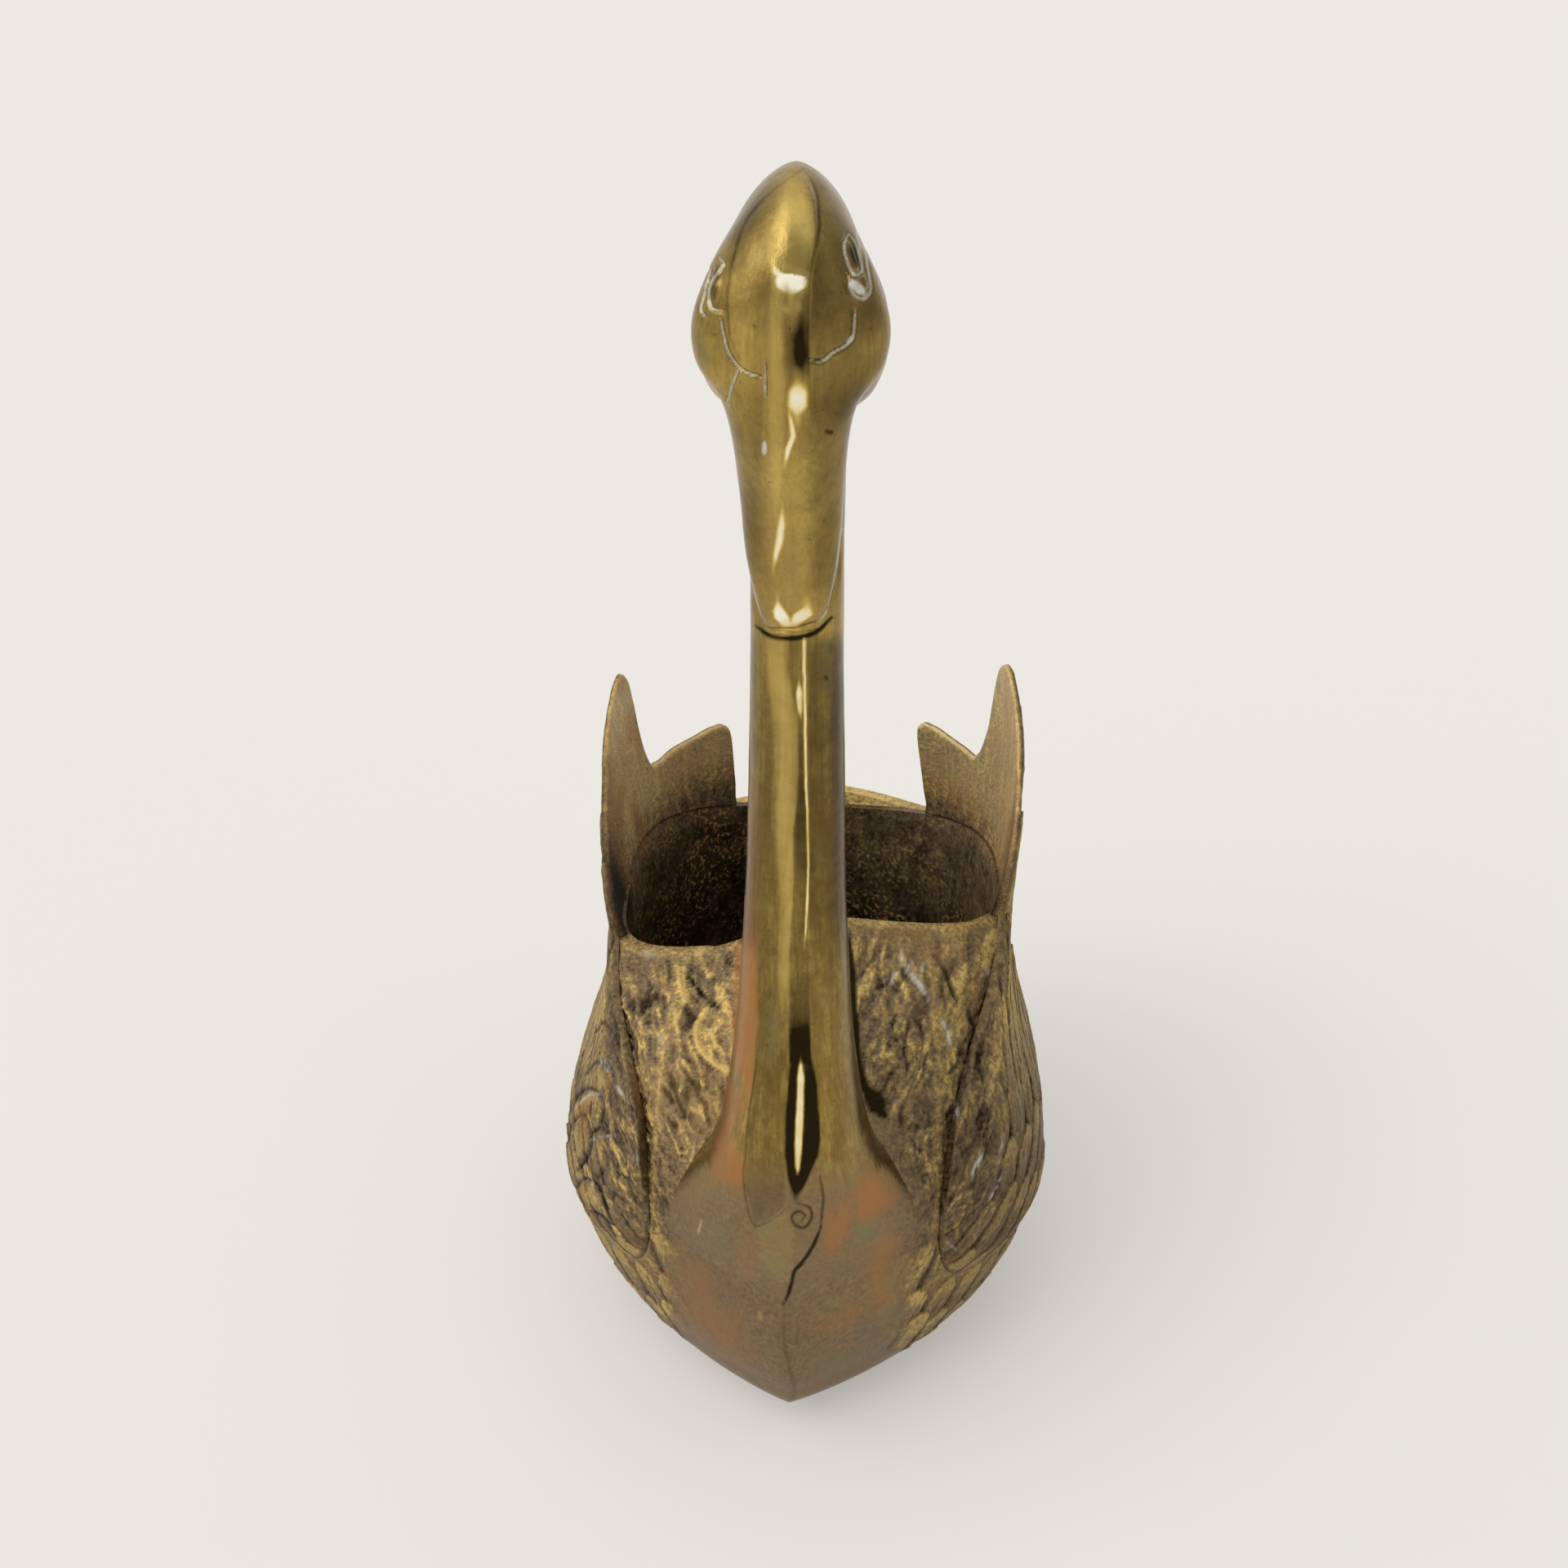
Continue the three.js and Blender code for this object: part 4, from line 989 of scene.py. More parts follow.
def wing_grid(spec):
    """The wing's grid: station, rise from 0 to 1, height of each column, share, level and lean."""
    stations = [row[0] for row in WING_LINES]
    spread = []
    for a, b in zip(stations, stations[1:]):
        count = max(2, int(math.ceil((b - a) * WING_COLUMNS * FINE)))
        spread.append(np.linspace(a, b, count, endpoint=False))
    station = np.concatenate(spread + [[stations[-1]]])
    up = np.linspace(0, 1, int(WING_ROWS * FINE))[:, None]
    bottom, top, outer_rise, inner_rise = np.moveaxis(wing_table(station), -1, 0)
    at_notch = smooth(station, NOTCH_FROM, NOTCH_AT) - smooth(station, NOTCH_AT, NOTCH_TO)
    peak = top * RIM + outer_rise * (spec["tip"] - RIM) + inner_rise * (spec["inner"] - RIM)
    peak = peak + spec["rise"] * at_notch
    tall = peak - bottom * RIM
    level = bottom * RIM + up * tall
    behind = np.maximum((station - WING_NOTCH) / (WING_REAR - WING_NOTCH), 0)
    raised = np.maximum((level - TAIL_TOP) / (spec["inner"] - TAIL_TOP), 0)
    share = station + (spec["rear"] - WING_REAR + spec["sweep"] * raised) * behind + spec["shift"] * at_notch
    lean = spec["lean"] * np.maximum((level - RIM) / (spec["tip"] - RIM), 0)
    return station, up, tall, share, level, lean


def wing(name, spec):
    """A wing: a closed plate with a carved outside, a plainer inside and a rounded edge."""
    side = spec["side"]
    station, up, tall, share, level, lean = wing_grid(spec)
    spot = body_point(side, share, level, lap_out(level, WING_THICK) + lean)
    steps_across = np.linalg.norm(np.diff(spot, axis=1, prepend=spot[:, :1]), axis=-1)
    u = WING_STARTS_BACK + np.cumsum(steps_across, 1)
    back = u - u[:, :1]
    margin = np.minimum(np.minimum(up, 1 - up) * tall[None], 40)
    margin = np.minimum(margin, np.minimum(back, u[:, -1:] - u))
    rounded = 1 - np.sqrt(np.clip(1 - (1 - np.clip(margin / EDGE_ROUND, 0, 1)) ** 2, 0, 1))
    relief = body_relief(u, level, spot) * smooth(margin, 0, 2.2)
    ridge = FRONT_RIDGE * np.exp(-((back - FRONT_RIDGE_AT) / FRONT_RIDGE_WIDTH) ** 2)
    ridge = ridge * smooth(margin, 0, 1.2)
    rough = 0.16 * (fractal(spot, 3.5, 61) - 0.5) + 0.2 * (fractal(spot, 12, 62) - 0.5)
    ahead = (1 - smooth(back, 0, 9)) * (1 - smooth(level, 50, 72))
    under = 1 - smooth(up * tall[None], 0, 8)
    thin = 1 - THIN_BY * np.maximum(ahead, under)
    inner_round = 0.5 * rounded * smooth(level, RIM, RIM + 3)
    waist = smooth(level, 52, 66) - smooth(level, 82, 94)
    body = lap_out(level, WING_THICK) * (1 - 0.45 * rounded) - OUTSIDE_LOWER
    body = body - WAIST_LOWER * waist * smooth(station, 0.3, 0.4)
    outer = body_point(side, share, level, body * thin + lean + relief + ridge)
    inner = body_point(side, share, level, -HEEL + lean + rough + inner_round)
    light = EDGE_BRIGHT * (1 - smooth(margin, 0, EDGE_BRIGHT_WIDTH)) * smooth(level, RIM - 4, RIM + 4)
    values_out = {"relief": tone(relief) + light, "inside": np.zeros(level.shape)}
    values_in = {"relief": np.clip(0.52 + rough + light, 0, 1), "inside": np.ones(level.shape)}
    return plate(name, outer, inner, values_out, values_in, side < 0)


def tail(name):
    """The tail: a low plate that flares outwards, with fine lines outside and painted light along its lip.
    """
    across = np.linspace(-1, 1, int(TAIL_COLUMNS * FINE))[None]
    up = np.linspace(0, 1, int(TAIL_ROWS * FINE))[:, None]
    peak = mix(TAIL_TOP, TAIL_CORNER, np.abs(across) ** 1.3)
    level = TAIL_FOOT + up * (peak - TAIL_FOOT)
    rear = np.where(across > 0, RIGHT_WING["rear"], LEFT_WING["rear"])
    share = 1 - (1 - rear - LAP_GAP / STERN) * np.abs(across) + 0 * level
    side = np.where(across > 0, -1.0, 1.0)
    spread = np.maximum((level - 0.85 * RIM) / (TAIL_TOP - 0.85 * RIM), 0)
    flare = (TAIL_FLARE - 0.7) * spread ** 2
    thick = lap_out(level, TAIL_THICK) * mix(0.55, 1, smooth(up, 0, 0.08))
    spot = body_point(side, share, level, thick, flare)
    lines = np.sin(across * 46 + 2 * np.sin(across * 9)) * 0.16
    below_lip = 1 - smooth(up, 0.9, 1)
    relief = (lines + 0.2 * (fractal(spot, 2.2, 71) - 0.5)) * smooth(up, 0, 0.1) * below_lip
    outer = body_point(side, share, level, thick + relief, flare)
    rough = 0.2 * (fractal(spot, 4, 72) - 0.5) * below_lip
    inner = body_point(side, share, level, -HEEL + rough, flare)
    light = 0.5 * smooth(up, 0.62, 1.0)
    values_out = {"relief": np.clip(tone(relief) + light, 0, 1), "inside": np.zeros(level.shape)}
    values_in = {"relief": np.clip(0.5 + 2 * rough + light, 0, 1), "inside": np.ones(level.shape)}
    return plate(name, outer, inner, values_out, values_in, False)


def hull_with_clearance():
    """The hull's outside, a hair larger, which wings and tail keep clear of."""
    rings = hull_rings(between(HULL_LEVELS, CLEAR_STEPS), CLEAR, CLEAR_COLUMNS)
    lip = hull_rings(np.array([1.0]), CLEAR, CLEAR_COLUMNS) + np.array([0, 0, CLEAR])
    rings = np.concatenate([rings, lip])
    return loft("clearance", rings, plain(rings))


clearance = hull_with_clearance()
left_wing = cut(wing("left_wing_plate", LEFT_WING), clearance, "DIFFERENCE", keep=True)
right_wing = cut(wing("right_wing_plate", RIGHT_WING), clearance, "DIFFERENCE", keep=True)
tail_plate = cut(tail("tail_plate"), clearance, "DIFFERENCE")


# Where the colours lie
# Bands by place of painted highlights, reflections and shade: amount, softness in pixels, and rows of y,
# left and right in pixels, and strength
SHADE_BANDS = {
    # Painted shade on the head's side facets, more on the right, away from the light, and a darker top of
    # the crown
    "painted shade on the head's side facets, darker crown": [
        (-0.15, 4, [(212, 994, 1000), (300, 1001, 1090), (362, 993, 1090), (440, 994, 1085),
            (512, 992, 1050)]),
        (-0.1, 5, [(228, 890, 950), (276, 850, 908), (346, 840, 889), (414, 840, 893), (446, 850, 904)]),
        (-0.08, 6, [(190, 900, 1040), (222, 890, 1060)]),
    ],
    # A painted sheen down the middle of the head, and painted shade at its left where a lamp's reflection
    # would fall
    "painted sheen and shade across the middle of the head": [
        (0.24, 9, [(222, 958, 985), (270, 955, 996), (320, 950, 992), (345, 948, 985)]),
        (-0.3, 14, [(258, 906, 946), (300, 898, 948), (340, 896, 944)]),
        (0.13, 5, [(330, 948, 950), (360, 942, 960), (518, 942, 960), (600, 946, 956), (640, 950, 952)]),
    ],
    # Painted highlights round the dent on the brow, and painted shade in its hollow
    "painted highlights and shade of the dent on the brow": [
        (0.5, 3, [(324, 944, 949), (334, 947, 956), (338, 951, 986), (345, 950, 989), (352, 952, 987),
            (361, 964, 972)]),
        (0.14, 5, [(316, 941, 952), (334, 943, 992), (352, 947, 992), (366, 958, 980)]),
        (0.35, 3, [(340, 968, 982), (352, 966, 984)]),
        (0.4, 5, [(368, 966, 980), (378, 960, 983), (390, 964, 976)]),
        (-0.26, 5, [(355, 960, 976), (361, 955, 979), (368, 960, 974)]),
    ],
    # A painted dark reflection in the groove at the bill's root
    "painted dark reflection in the groove under the dent": [
        (-0.24, 7, [(384, 962, 985), (401, 960, 989), (443, 960, 989), (470, 966, 984)]),
        (-0.3, 7, [(392, 978, 989), (412, 972, 989), (446, 974, 988), (462, 979, 986)]),
    ],
    "glints on the bill": [
        (0.75, 5, [(466, 973, 981), (480, 966, 988), (497, 966, 988), (510, 973, 979)]),
        (0.7, 2.2, [(506, 965, 968), (520, 967, 971), (534, 968, 974), (548, 963, 969), (568, 960, 962)]),
        (0.6, 3, [(620, 958, 959), (645, 953, 961), (665, 950, 958), (694, 946, 948)]),
        (0.85, 3.5, [(736, 951, 953), (748, 947, 960), (757, 949, 966), (766, 957, 968)]),
        (0.85, 3.5, [(744, 984, 993), (753, 971, 995), (764, 968, 979)]),
    ],
    # Painted shade along the sides of the bill and a painted sheen down its middle
    "painted shade on the bill's sides and sheen down its middle": [
        (-0.14, 8, [(470, 992, 1060), (560, 992, 1050), (690, 998, 1050), (740, 1004, 1040)]),
        (-0.12, 7, [(480, 890, 934), (600, 900, 930), (700, 900, 928)]),
        (0.08, 8, [(560, 940, 985), (760, 940, 990)]),
    ],
    # A painted darker reflection along the left edge of the neck
    "painted darker reflection along the neck's left edge": [
        (-0.17, 3, [(780, 900, 926), (1000, 900, 926), (1160, 900, 926)]),
        (-0.13, 5, [(780, 926, 936), (900, 926, 946), (1000, 926, 948), (1100, 926, 952),
            (1220, 926, 950), (1270, 926, 950, 0)]),
    ],
    # A broad lighter band of painted reflection down the neck
    "painted light reflection band down the neck": [
        (0.18, 9, [(780, 938, 960), (820, 940, 962), (900, 952, 976), (1000, 951, 972), (1060, 953, 974),
            (1110, 958, 976), (1200, 952, 966), (1260, 952, 964, 0)]),
    ],
    # A painted dark reflection down the neck's front, with painted highlights in it and along its right edge
    "painted dark reflection strip of the neck and its bright edge": [
        (-0.34, 1.5, [(780, 966, 982, 0.6), (820, 965, 983, 0.3), (853, 971, 984, 0.3),
            (880, 977, 984, 0.5), (938, 978, 985), (978, 976, 986), (1018, 972, 987),
            (1077, 972, 988, 0.6), (1143, 969, 986, 0.4), (1160, 967, 990, 0.4), (1300, 966, 993)]),
        (0.7, 2, [(836, 977, 979), (848, 975, 982), (866, 976, 982), (878, 979, 981)]),
        (0.7, 1.3, [(782, 983, 986), (860, 984, 987), (965, 985, 988), (1011, 988, 990),
            (1060, 989, 991), (1103, 987, 990), (1156, 985, 986)]),
    ],
    # Painted shade on the right side of the neck, away from the light
    "painted shade on the neck's right side": [
        (-0.22, 2.5, [(780, 988, 1060), (900, 990, 1060), (1100, 990, 1060), (1200, 992, 1060, 0.3),
            (1300, 998, 1060, 0.15), (1420, 1008, 1060, 0.3)]),
        (-0.1, 6, [(780, 1018, 1060), (1150, 1020, 1060)]),
    ],
    # Painted reflections at the neck's foot: a darker facet, a black hollow and a bright streak; the last
    # band is a lighter patch
    "foot of the neck: painted reflections of a facet, black hollow and bright streak; light patch": [
        (-0.12, 2, [(1190, 930, 960, 0), (1240, 929, 966, 0.4), (1300, 924, 966, 1), (1329, 921, 965),
            (1369, 916, 962), (1415, 913, 961), (1451, 911, 962), (1474, 918, 962), (1490, 922, 947),
            (1502, 923, 925)]),
        (-0.68, 3.5, [(1230, 968, 990, 0), (1292, 968, 994, 0.5), (1330, 965, 1000, 1),
            (1362, 963, 1002), (1395, 962, 1004), (1416, 962, 1001), (1440, 965, 990), (1464, 971, 978)]),
        (1.25, 2, [(1296, 980, 981), (1320, 976, 985), (1345, 975, 984), (1369, 974, 984),
            (1400, 973, 983), (1430, 974, 980), (1440, 976, 977)]),
        (0.07, 4, [(1481, 938, 962), (1500, 927, 971), (1540, 931, 971), (1562, 946, 970)]),
    ],
}
# Marks by place, mostly painted shade, highlights and reflection edges: amount, half width, softness and
# path in pixels
SHADES = {
    # Painted shade along the creases between the head's facets
    "edges of the head's facets": [
        (-0.24, 1.5, 2.5, [(984, 206), (999, 232), (1003, 266), (1000, 297), (992, 336), (990, 362),
            (990, 440), (991, 500)]),
        (-0.2, 1.5, 2.5, [(984, 206), (955, 227), (929, 250), (911, 276), (900, 310), (892, 346),
            (891, 383), (895, 414), (905, 440)]),
    ],
    # A painted shadow under the bill's tip, then two pits
    "painted shadow under the bill, and pits": [
        (-0.6, 2.5, 2.5, [(924, 766), (945, 779), (975, 781), (1000, 773), (1018, 756)]),
        (-0.3, 2.5, 2, [(1010, 528), (1020, 530)]), (-0.2, 2, 2, [(1013, 832), (1010, 828)]),
    ],
    # Painted shade along the hard edge of the facet at the neck's foot
    "edge of the foot's facet": [
        (-0.2, 1.2, 1.2, [(926, 1296), (913, 1402), (911, 1454), (924, 1501), (944, 1494), (962, 1480)]),
    ],
    # The painted dark edge and curl of a reflection on the polished breast, a second painted edge beside it,
    # and a dark line down the keel
    "painted reflection edges and curl on the breast, and a keel line": [
        (-0.55, 2.2, 2, [(1005, 1502), (995, 1527), (982, 1547), (974, 1555), (971, 1562), (966, 1583),
            (959, 1598)]),
        (-0.4, 1.5, 2, [(978, 1474), (991, 1479), (993, 1492), (984, 1503), (973, 1500), (969, 1489),
            (977, 1483), (985, 1488), (981, 1495)]),
        (-0.35, 1.5, 2, [(1004, 1440), (1008, 1470), (1004, 1502)]),
        (-0.14, 2, 3, [(962, 1600), (959, 1642), (972, 1692), (972, 1722)]),
    ],
    "glints on the breast": [
        (0.5, 1.2, 1.5, [(859, 1494), (855, 1510)]), (0.35, 1.5, 2, [(930, 1606), (932, 1616)]),
    ],
    # Painted shade inside the rings round the eyes
    "painted shade beside the eyes": [(-0.25, 4, 3, [(1043, 300), (1050, 324)]), (-0.2, 4, 3, [(878, 326), (874, 366)])],
    # Painted highlights along the front edges of the wings
    "painted highlights on the wings' front edges": [
        (0.26, 8, 6, [(1232, 1130), (1226, 1200), (1218, 1290), (1204, 1390)]),
        (0.3, 5, 5, [(752, 1130), (764, 1264), (784, 1345)]),
    ],
    "gold curls of the deck": [
        (0.5, 4, 4, [(853, 1162), (856, 1176)]), (0.3, 12, 12, [(1092, 1220), (1100, 1260)]),
        (0.4, 4, 4, [(866, 1237), (854, 1260), (858, 1284), (893, 1310)]),
    ],
}
# Painted shade in the crevices beside the foot of the neck, by place: amount, half width, softness and path
# in pixels
CREVICE_SHADE = {
    "left of the neck": [(-0.5, 2.5, 3, [(903, 1296), (893, 1355), (881, 1400)])],
    "right of the neck": [
        (-0.7, 10, 9, [(1068, 1338), (1078, 1362)]),
        (-0.8, 4, 4, [(1040, 1150), (1045, 1242), (1052, 1309), (1066, 1345), (1084, 1366)]),
    ],
}
COPPER_BANDS = {
    "left edge of the neck": [
        (0.5, 4, [(930, 905, 920), (1000, 904, 926), (1136, 903, 928)]),
        (1, 3, [(1100, 903, 926), (1136, 903, 927), (1230, 899, 929), (1280, 894, 925), (1330, 889, 921),
            (1369, 881, 916), (1415, 870, 913), (1450, 862, 911)]),
    ],
}
COPPER = {
    "right edge of the neck": [
        (0.5, 6, 5, [(1022, 965), (1023, 1031)]), (0.5, 6, 5, [(1023, 1052), (1023, 1086)]),
    ],
    "right of the breast": [
        (1, 22, 22, [(1016, 1530), (1060, 1474), (1092, 1466)]),
        (0.6, 22, 22, [(1086, 1500), (1082, 1600)]), (0.45, 18, 20, [(1000, 1620), (1050, 1605)]),
    ],
    "left of the breast": [
        (0.5, 26, 30, [(850, 1530), (862, 1600), (905, 1655)]), (0.35, 24, 24, [(886, 1440), (866, 1480)]),
    ],
    "foot of the neck": [(0.5, 12, 14, [(1045, 1400), (1070, 1450)])],
    "right flank": [
        (0.6, 9, 6, [(714, 1345), (706, 1405)]), (0.5, 8, 6, [(732, 1318), (745, 1332)]),
        (0.6, 8, 6, [(714, 1450), (724, 1484)]),
    ],
    "edges of the wings": [
        (0.4, 6, 6, [(778, 1320), (790, 1370)]), (0.3, 5, 5, [(1190, 1180), (1200, 1260)]),
    ],
    "top of the breast": [(0.4, 12, 14, [(912, 1500), (916, 1560)])],
}
GREEN = {
    "head": [
        (0.5, 12, 12, [(1010, 240), (1036, 300)]), (0.4, 10, 12, [(912, 246), (886, 300), (866, 380)]),
        (0.5, 8, 10, [(852, 410), (866, 450)]),
    ],
    "breast": [
        (0.8, 12, 14, [(1050, 1502), (1074, 1516)]), (0.5, 18, 20, [(1096, 1560), (1088, 1640)]),
        (0.6, 18, 18, [(945, 1500), (950, 1570)]), (0.4, 22, 24, [(985, 1665), (1060, 1660)]),
    ],
    "neck": [(0.5, 12, 10, [(945, 1240), (938, 1300)]), (0.5, 10, 10, [(1012, 790), (1012, 900)])],
    "sides of the breast": [
        (0.4, 10, 10, [(1030, 1590), (1010, 1600)]), (0.4, 12, 14, [(880, 1500), (884, 1530)]),
    ],
}
RESIDUE = {
    "right side of the deck": [
        (1, 3, 3, [(1106, 1160), (1106, 1177), (1112, 1188), (1127, 1206), (1136, 1224)]),
        (0.9, 2.5, 2, [(1120, 1174), (1108, 1186)]), (0.8, 2.5, 2, [(1097, 1190), (1090, 1204)]),
        (0.9, 2, 2.5, [(1152, 1248), (1160, 1264), (1165, 1280)]),
        (0.7, 1.5, 2, [(1132, 1176), (1128, 1192)]),
    ],
    "left flank": [
        (0.9, 2.5, 2.5, [(1203, 1408), (1196, 1428), (1189, 1443)]),
        (0.8, 1.5, 2, [(1229, 1390), (1223, 1424)]),
        (0.8, 1.5, 2, [(1227, 1436), (1220, 1452), (1211, 1470)]),
        (0.7, 2, 2, [(1170, 1350), (1174, 1372)]), (0.6, 2, 2, [(1208, 1182), (1212, 1194)]),
    ],
    "right flank": [
        (0.8, 3, 3, [(736, 1298), (748, 1312)]), (0.8, 1.5, 2, [(756, 1330), (769, 1350)]),
        (0.6, 1.2, 2, [(704, 1358), (722, 1340), (737, 1340)]),
        (0.5, 1.2, 2, [(724, 1396), (736, 1392), (752, 1390)]), (0.6, 2, 2, [(778, 1400), (780, 1424)]),
    ],
    "edge of the right wing": [(0.5, 3, 3, [(748, 1030), (752, 1095)])],
    "left side of the deck": [(0.5, 4, 5, [(788, 1166), (804, 1173)])],
    "flecks": [
        (0.5, 2, 2, [(1160, 1520), (1170, 1530)]), (0.5, 1.5, 2, [(806, 1262), (812, 1284)]),
        (0.5, 1.2, 2, [(790, 1480), (798, 1510)]), (0.5, 1.2, 2, [(722, 1440), (730, 1470)]),
    ],
}
HEAD_RESIDUE = {
    "carved lines": [(0.95, 1.1, 1.4, path) for path in HEAD_LINES.values()],
    "right eye, bill's edge, nostril and mask": [
        (1, 5.5, 3, [(1043, 345), (1052, 354), (1058, 360)]),
        (0.8, 1.2, 1.2, [(1033, 655), (1031, 697), (1019, 738), (1004, 760)]),
        (1, 2.6, 1.5, [(936, 541), (936, 556)]), (0.9, 2.2, 1.5, [(1037, 420), (1044, 412)]),
    ],
}
SHAKE_PIXELS, POLISH_ENDS_PIXELS = 3.0, (1505, 110)


def marked(points, marks, bands=None):
    """Summed soft marks at points, with ends that fade."""
    px, py = pixels(points)
    shake = SHAKE_PIXELS * (fractal(points, 4, 85) - 0.5)
    total = np.zeros(px.shape)
    for amount, width, soft, path in listed(marks):
        away, where = near_path(px + shake, py, curved(path), 2 * (width + soft))
        away = away + 0.6 * width * (smooth(np.abs(where - 0.5), 0.3, 0.5))
        total = total + amount * (1 - smooth(away, width - soft, width + soft))
    for amount, soft, rows in listed(bands or {}):
        at, left, right, strength = np.array([(*row, 1.0)[:4] for row in rows]).T
        centre, half = np.interp(py, at, (left + right) / 2), np.interp(py, at, (right - left) / 2)
        within = smooth(half - np.abs(px + 0.7 * shake - centre), -soft, soft)
        fade = 5 * soft
        begun, left_over = smooth(py + shake - at[0], -fade, fade), smooth(at[-1] - py - shake, -fade, fade)
        total = total + amount * within * begun * left_over * np.interp(py, at, strength)
    return total


def seen_marks(thing, points, facing, root):
    """The marks at the points that face the camera: painted shade and light, copper, green and residue."""
    front = facing > 0
    chosen = points[front]
    found = {
        "shade": marked(chosen, SHADES, SHADE_BANDS) + marked(chosen, CREVICE_SHADE) * (1 - root[front]),
        "copper": marked(chosen, COPPER, COPPER_BANDS),
        "green": marked(chosen, GREEN),
        "residue": marked(chosen, HEAD_RESIDUE if thing == swan else RESIDUE),
    }
    if thing == swan:
        found["residue"] = found["residue"] * smooth(-chosen[:, 1], *HEAD_AHEAD)
    values = {key: np.zeros(len(points)) for key in found}
    for key, value in found.items():
        values[key][front] = value
    return values


def light_inside(points, patchy):
    """Painted light on the inner faces of wings and tail, and painted shade just inside the rim."""
    x, y, z = points.T
    lit = 0.06 * (1 - smooth(RIM - z, -12, 14))
    lit = lit + (0.8 + 0.3 * smooth(x, -9, 9)) * smooth(y, 16, 40) * smooth(z, RIM - 5, RIM + 5)
    lit = lit - 0.9 * smooth(26 - y, 0, 20) * (1 - smooth(z, RIM, RIM + 24)) * smooth(z, RIM - 30, RIM - 5)
    return lit * (0.2 + 1.2 * patchy)


def paint(thing):
    """Sets the values that the metal's finish reads, painted light and shade among them, from where each
    point lies.
    """
    mesh = thing.data
    points, normals = co_of(mesh), normals_of(mesh)
    x, y, z = points.T
    inner, root = value_of(mesh, "inside"), smooth(value_of(mesh, "root"), 0.3, 0.7)
    facing = smooth(normals @ BACK, -0.25, 0.12) * smooth(-y, -10, 20) * (1 - smooth(inner, 0.3, 0.7))
    marks = seen_marks(thing, points, facing, root)
    patchy, fine = fractal(points, 10, 81), fractal(points, 3, 82)
    smooth_breast = breast_mask(points) * (1 - inner)
    start, length = POLISH_ENDS_PIXELS
    neck_polish = mix(0.5 * smooth_breast, 1, smooth(start - pixels(points)[1], 0, length))
    polish = np.maximum(0.5 * smooth_breast, root * neck_polish)
    polish = np.maximum(polish, 0.14 * inner * smooth(z, RIM, RIM + 8))
    worn = (1 - polish) * (1 - inner)

    # Painted shade that deepens down the bowl, less on its back right wall
    back_right = smooth(x, -6, 14) * smooth(y, 20, 44)
    depth = RIM - z + 30 * (0.5 - patchy) - 20 * back_right
    bowl = inner * smooth(depth, -8, 30) if thing != tail_plate else 0 * inner
    # Painted shade over the +x flank, away from the light; the outer -x flank is darkened too
    lee = smooth(x, 22, 58) * worn * (1 - 0.6 * smooth(z, 60, 90))
    shade = 0.5 + marks["shade"] * facing * (0.75 + 0.5 * fine) - bowl * (0.36 + 0.5 * (fine - 0.5))
    shade = shade - 0.22 * lee - 0.12 * smooth(-x, 34, 56) * worn
    shade = np.where(inner > 0.5, np.minimum(shade + light_inside(points, patchy), 1.1), shade)

    copper = marks["copper"] * facing * smooth(patchy + 0.5 * (fine - 0.5), 0.22, 0.62)
    copper = copper + 0.5 * inner * smooth(z, RIM - 12, RIM + 4) * smooth(1 - patchy, 0.3, 0.6)
    green = marks["green"] * facing * smooth(1 - patchy + 0.5 * (fine - 0.5), 0.3, 0.65)
    broken = smooth(fractal(points, 1.2, 83, 2), 0.36, 0.58)
    white = np.clip(marks["residue"], 0, 1) * facing * mix(broken, 1, 0.75 if thing == swan else 0.15)
    values = {
        "polish": polish, "copper": copper, "green": green, "white": white, "shade": shade, "bowl": bowl,
    }
    for key, value in values.items():
        set_value(mesh, key, np.clip(value, 0, 2 if key == "shade" else 1))


# Brass
class Nodes:
    """Short calls for building a material's nodes."""

    def __init__(self, material):
        material.use_nodes = True
        self.tree = material.node_tree
        self.tree.nodes.clear()

    def add(self, kind, inputs=None, **settings):
        node = self.tree.nodes.new(kind)
        for key, value in settings.items():
            setattr(node, key, value)
        for key, value in (inputs or {}).items():
            if isinstance(value, bpy.types.NodeSocket):
                self.tree.links.new(value, node.inputs[key])
            else:
                node.inputs[key].default_value = value
        return node

    def value(self, name):
        return self.add("ShaderNodeAttribute", attribute_name=name).outputs["Fac"]

    def math(self, operation, a, b=0.0, clamp=False):
        return self.add("ShaderNodeMath", {0: a, 1: b}, operation=operation, use_clamp=clamp).outputs[0]

    def spread(self, value, low, high, to_low=0.0, to_high=1.0):
        inputs = {"Value": value, "From Min": low, "From Max": high, "To Min": to_low, "To Max": to_high}
        return self.add("ShaderNodeMapRange", inputs, clamp=True).outputs[0]

    def blend(self, factor, a, b):
        return self.add("ShaderNodeMix", {0: factor, 6: a, 7: b}, data_type="RGBA").outputs[2]

    def noise(self, scale, detail, rough, vector, distortion=0.0):
        inputs = {"Scale": scale, "Detail": detail, "Roughness": rough, "Distortion": distortion}
        return self.add("ShaderNodeTexNoise", inputs | {"Vector": vector}).outputs["Fac"]

    def stretched(self, vector, scale, rotation=(0.0, 0.0, 0.0)):
        inputs = {"Vector": vector, "Scale": scale, "Rotation": rotation}
        return self.add("ShaderNodeMapping", inputs).outputs[0]


def colour(red, green, blue):
    """A colour as it is written on a screen, from 0 to 255, as the linear one that nodes use."""
    values = [c / 255 for c in (red, green, blue)]
    return tuple(c / 12.92 if c <= 0.04045 else ((c + 0.055) / 1.055) ** 2.4 for c in values) + (1.0,)


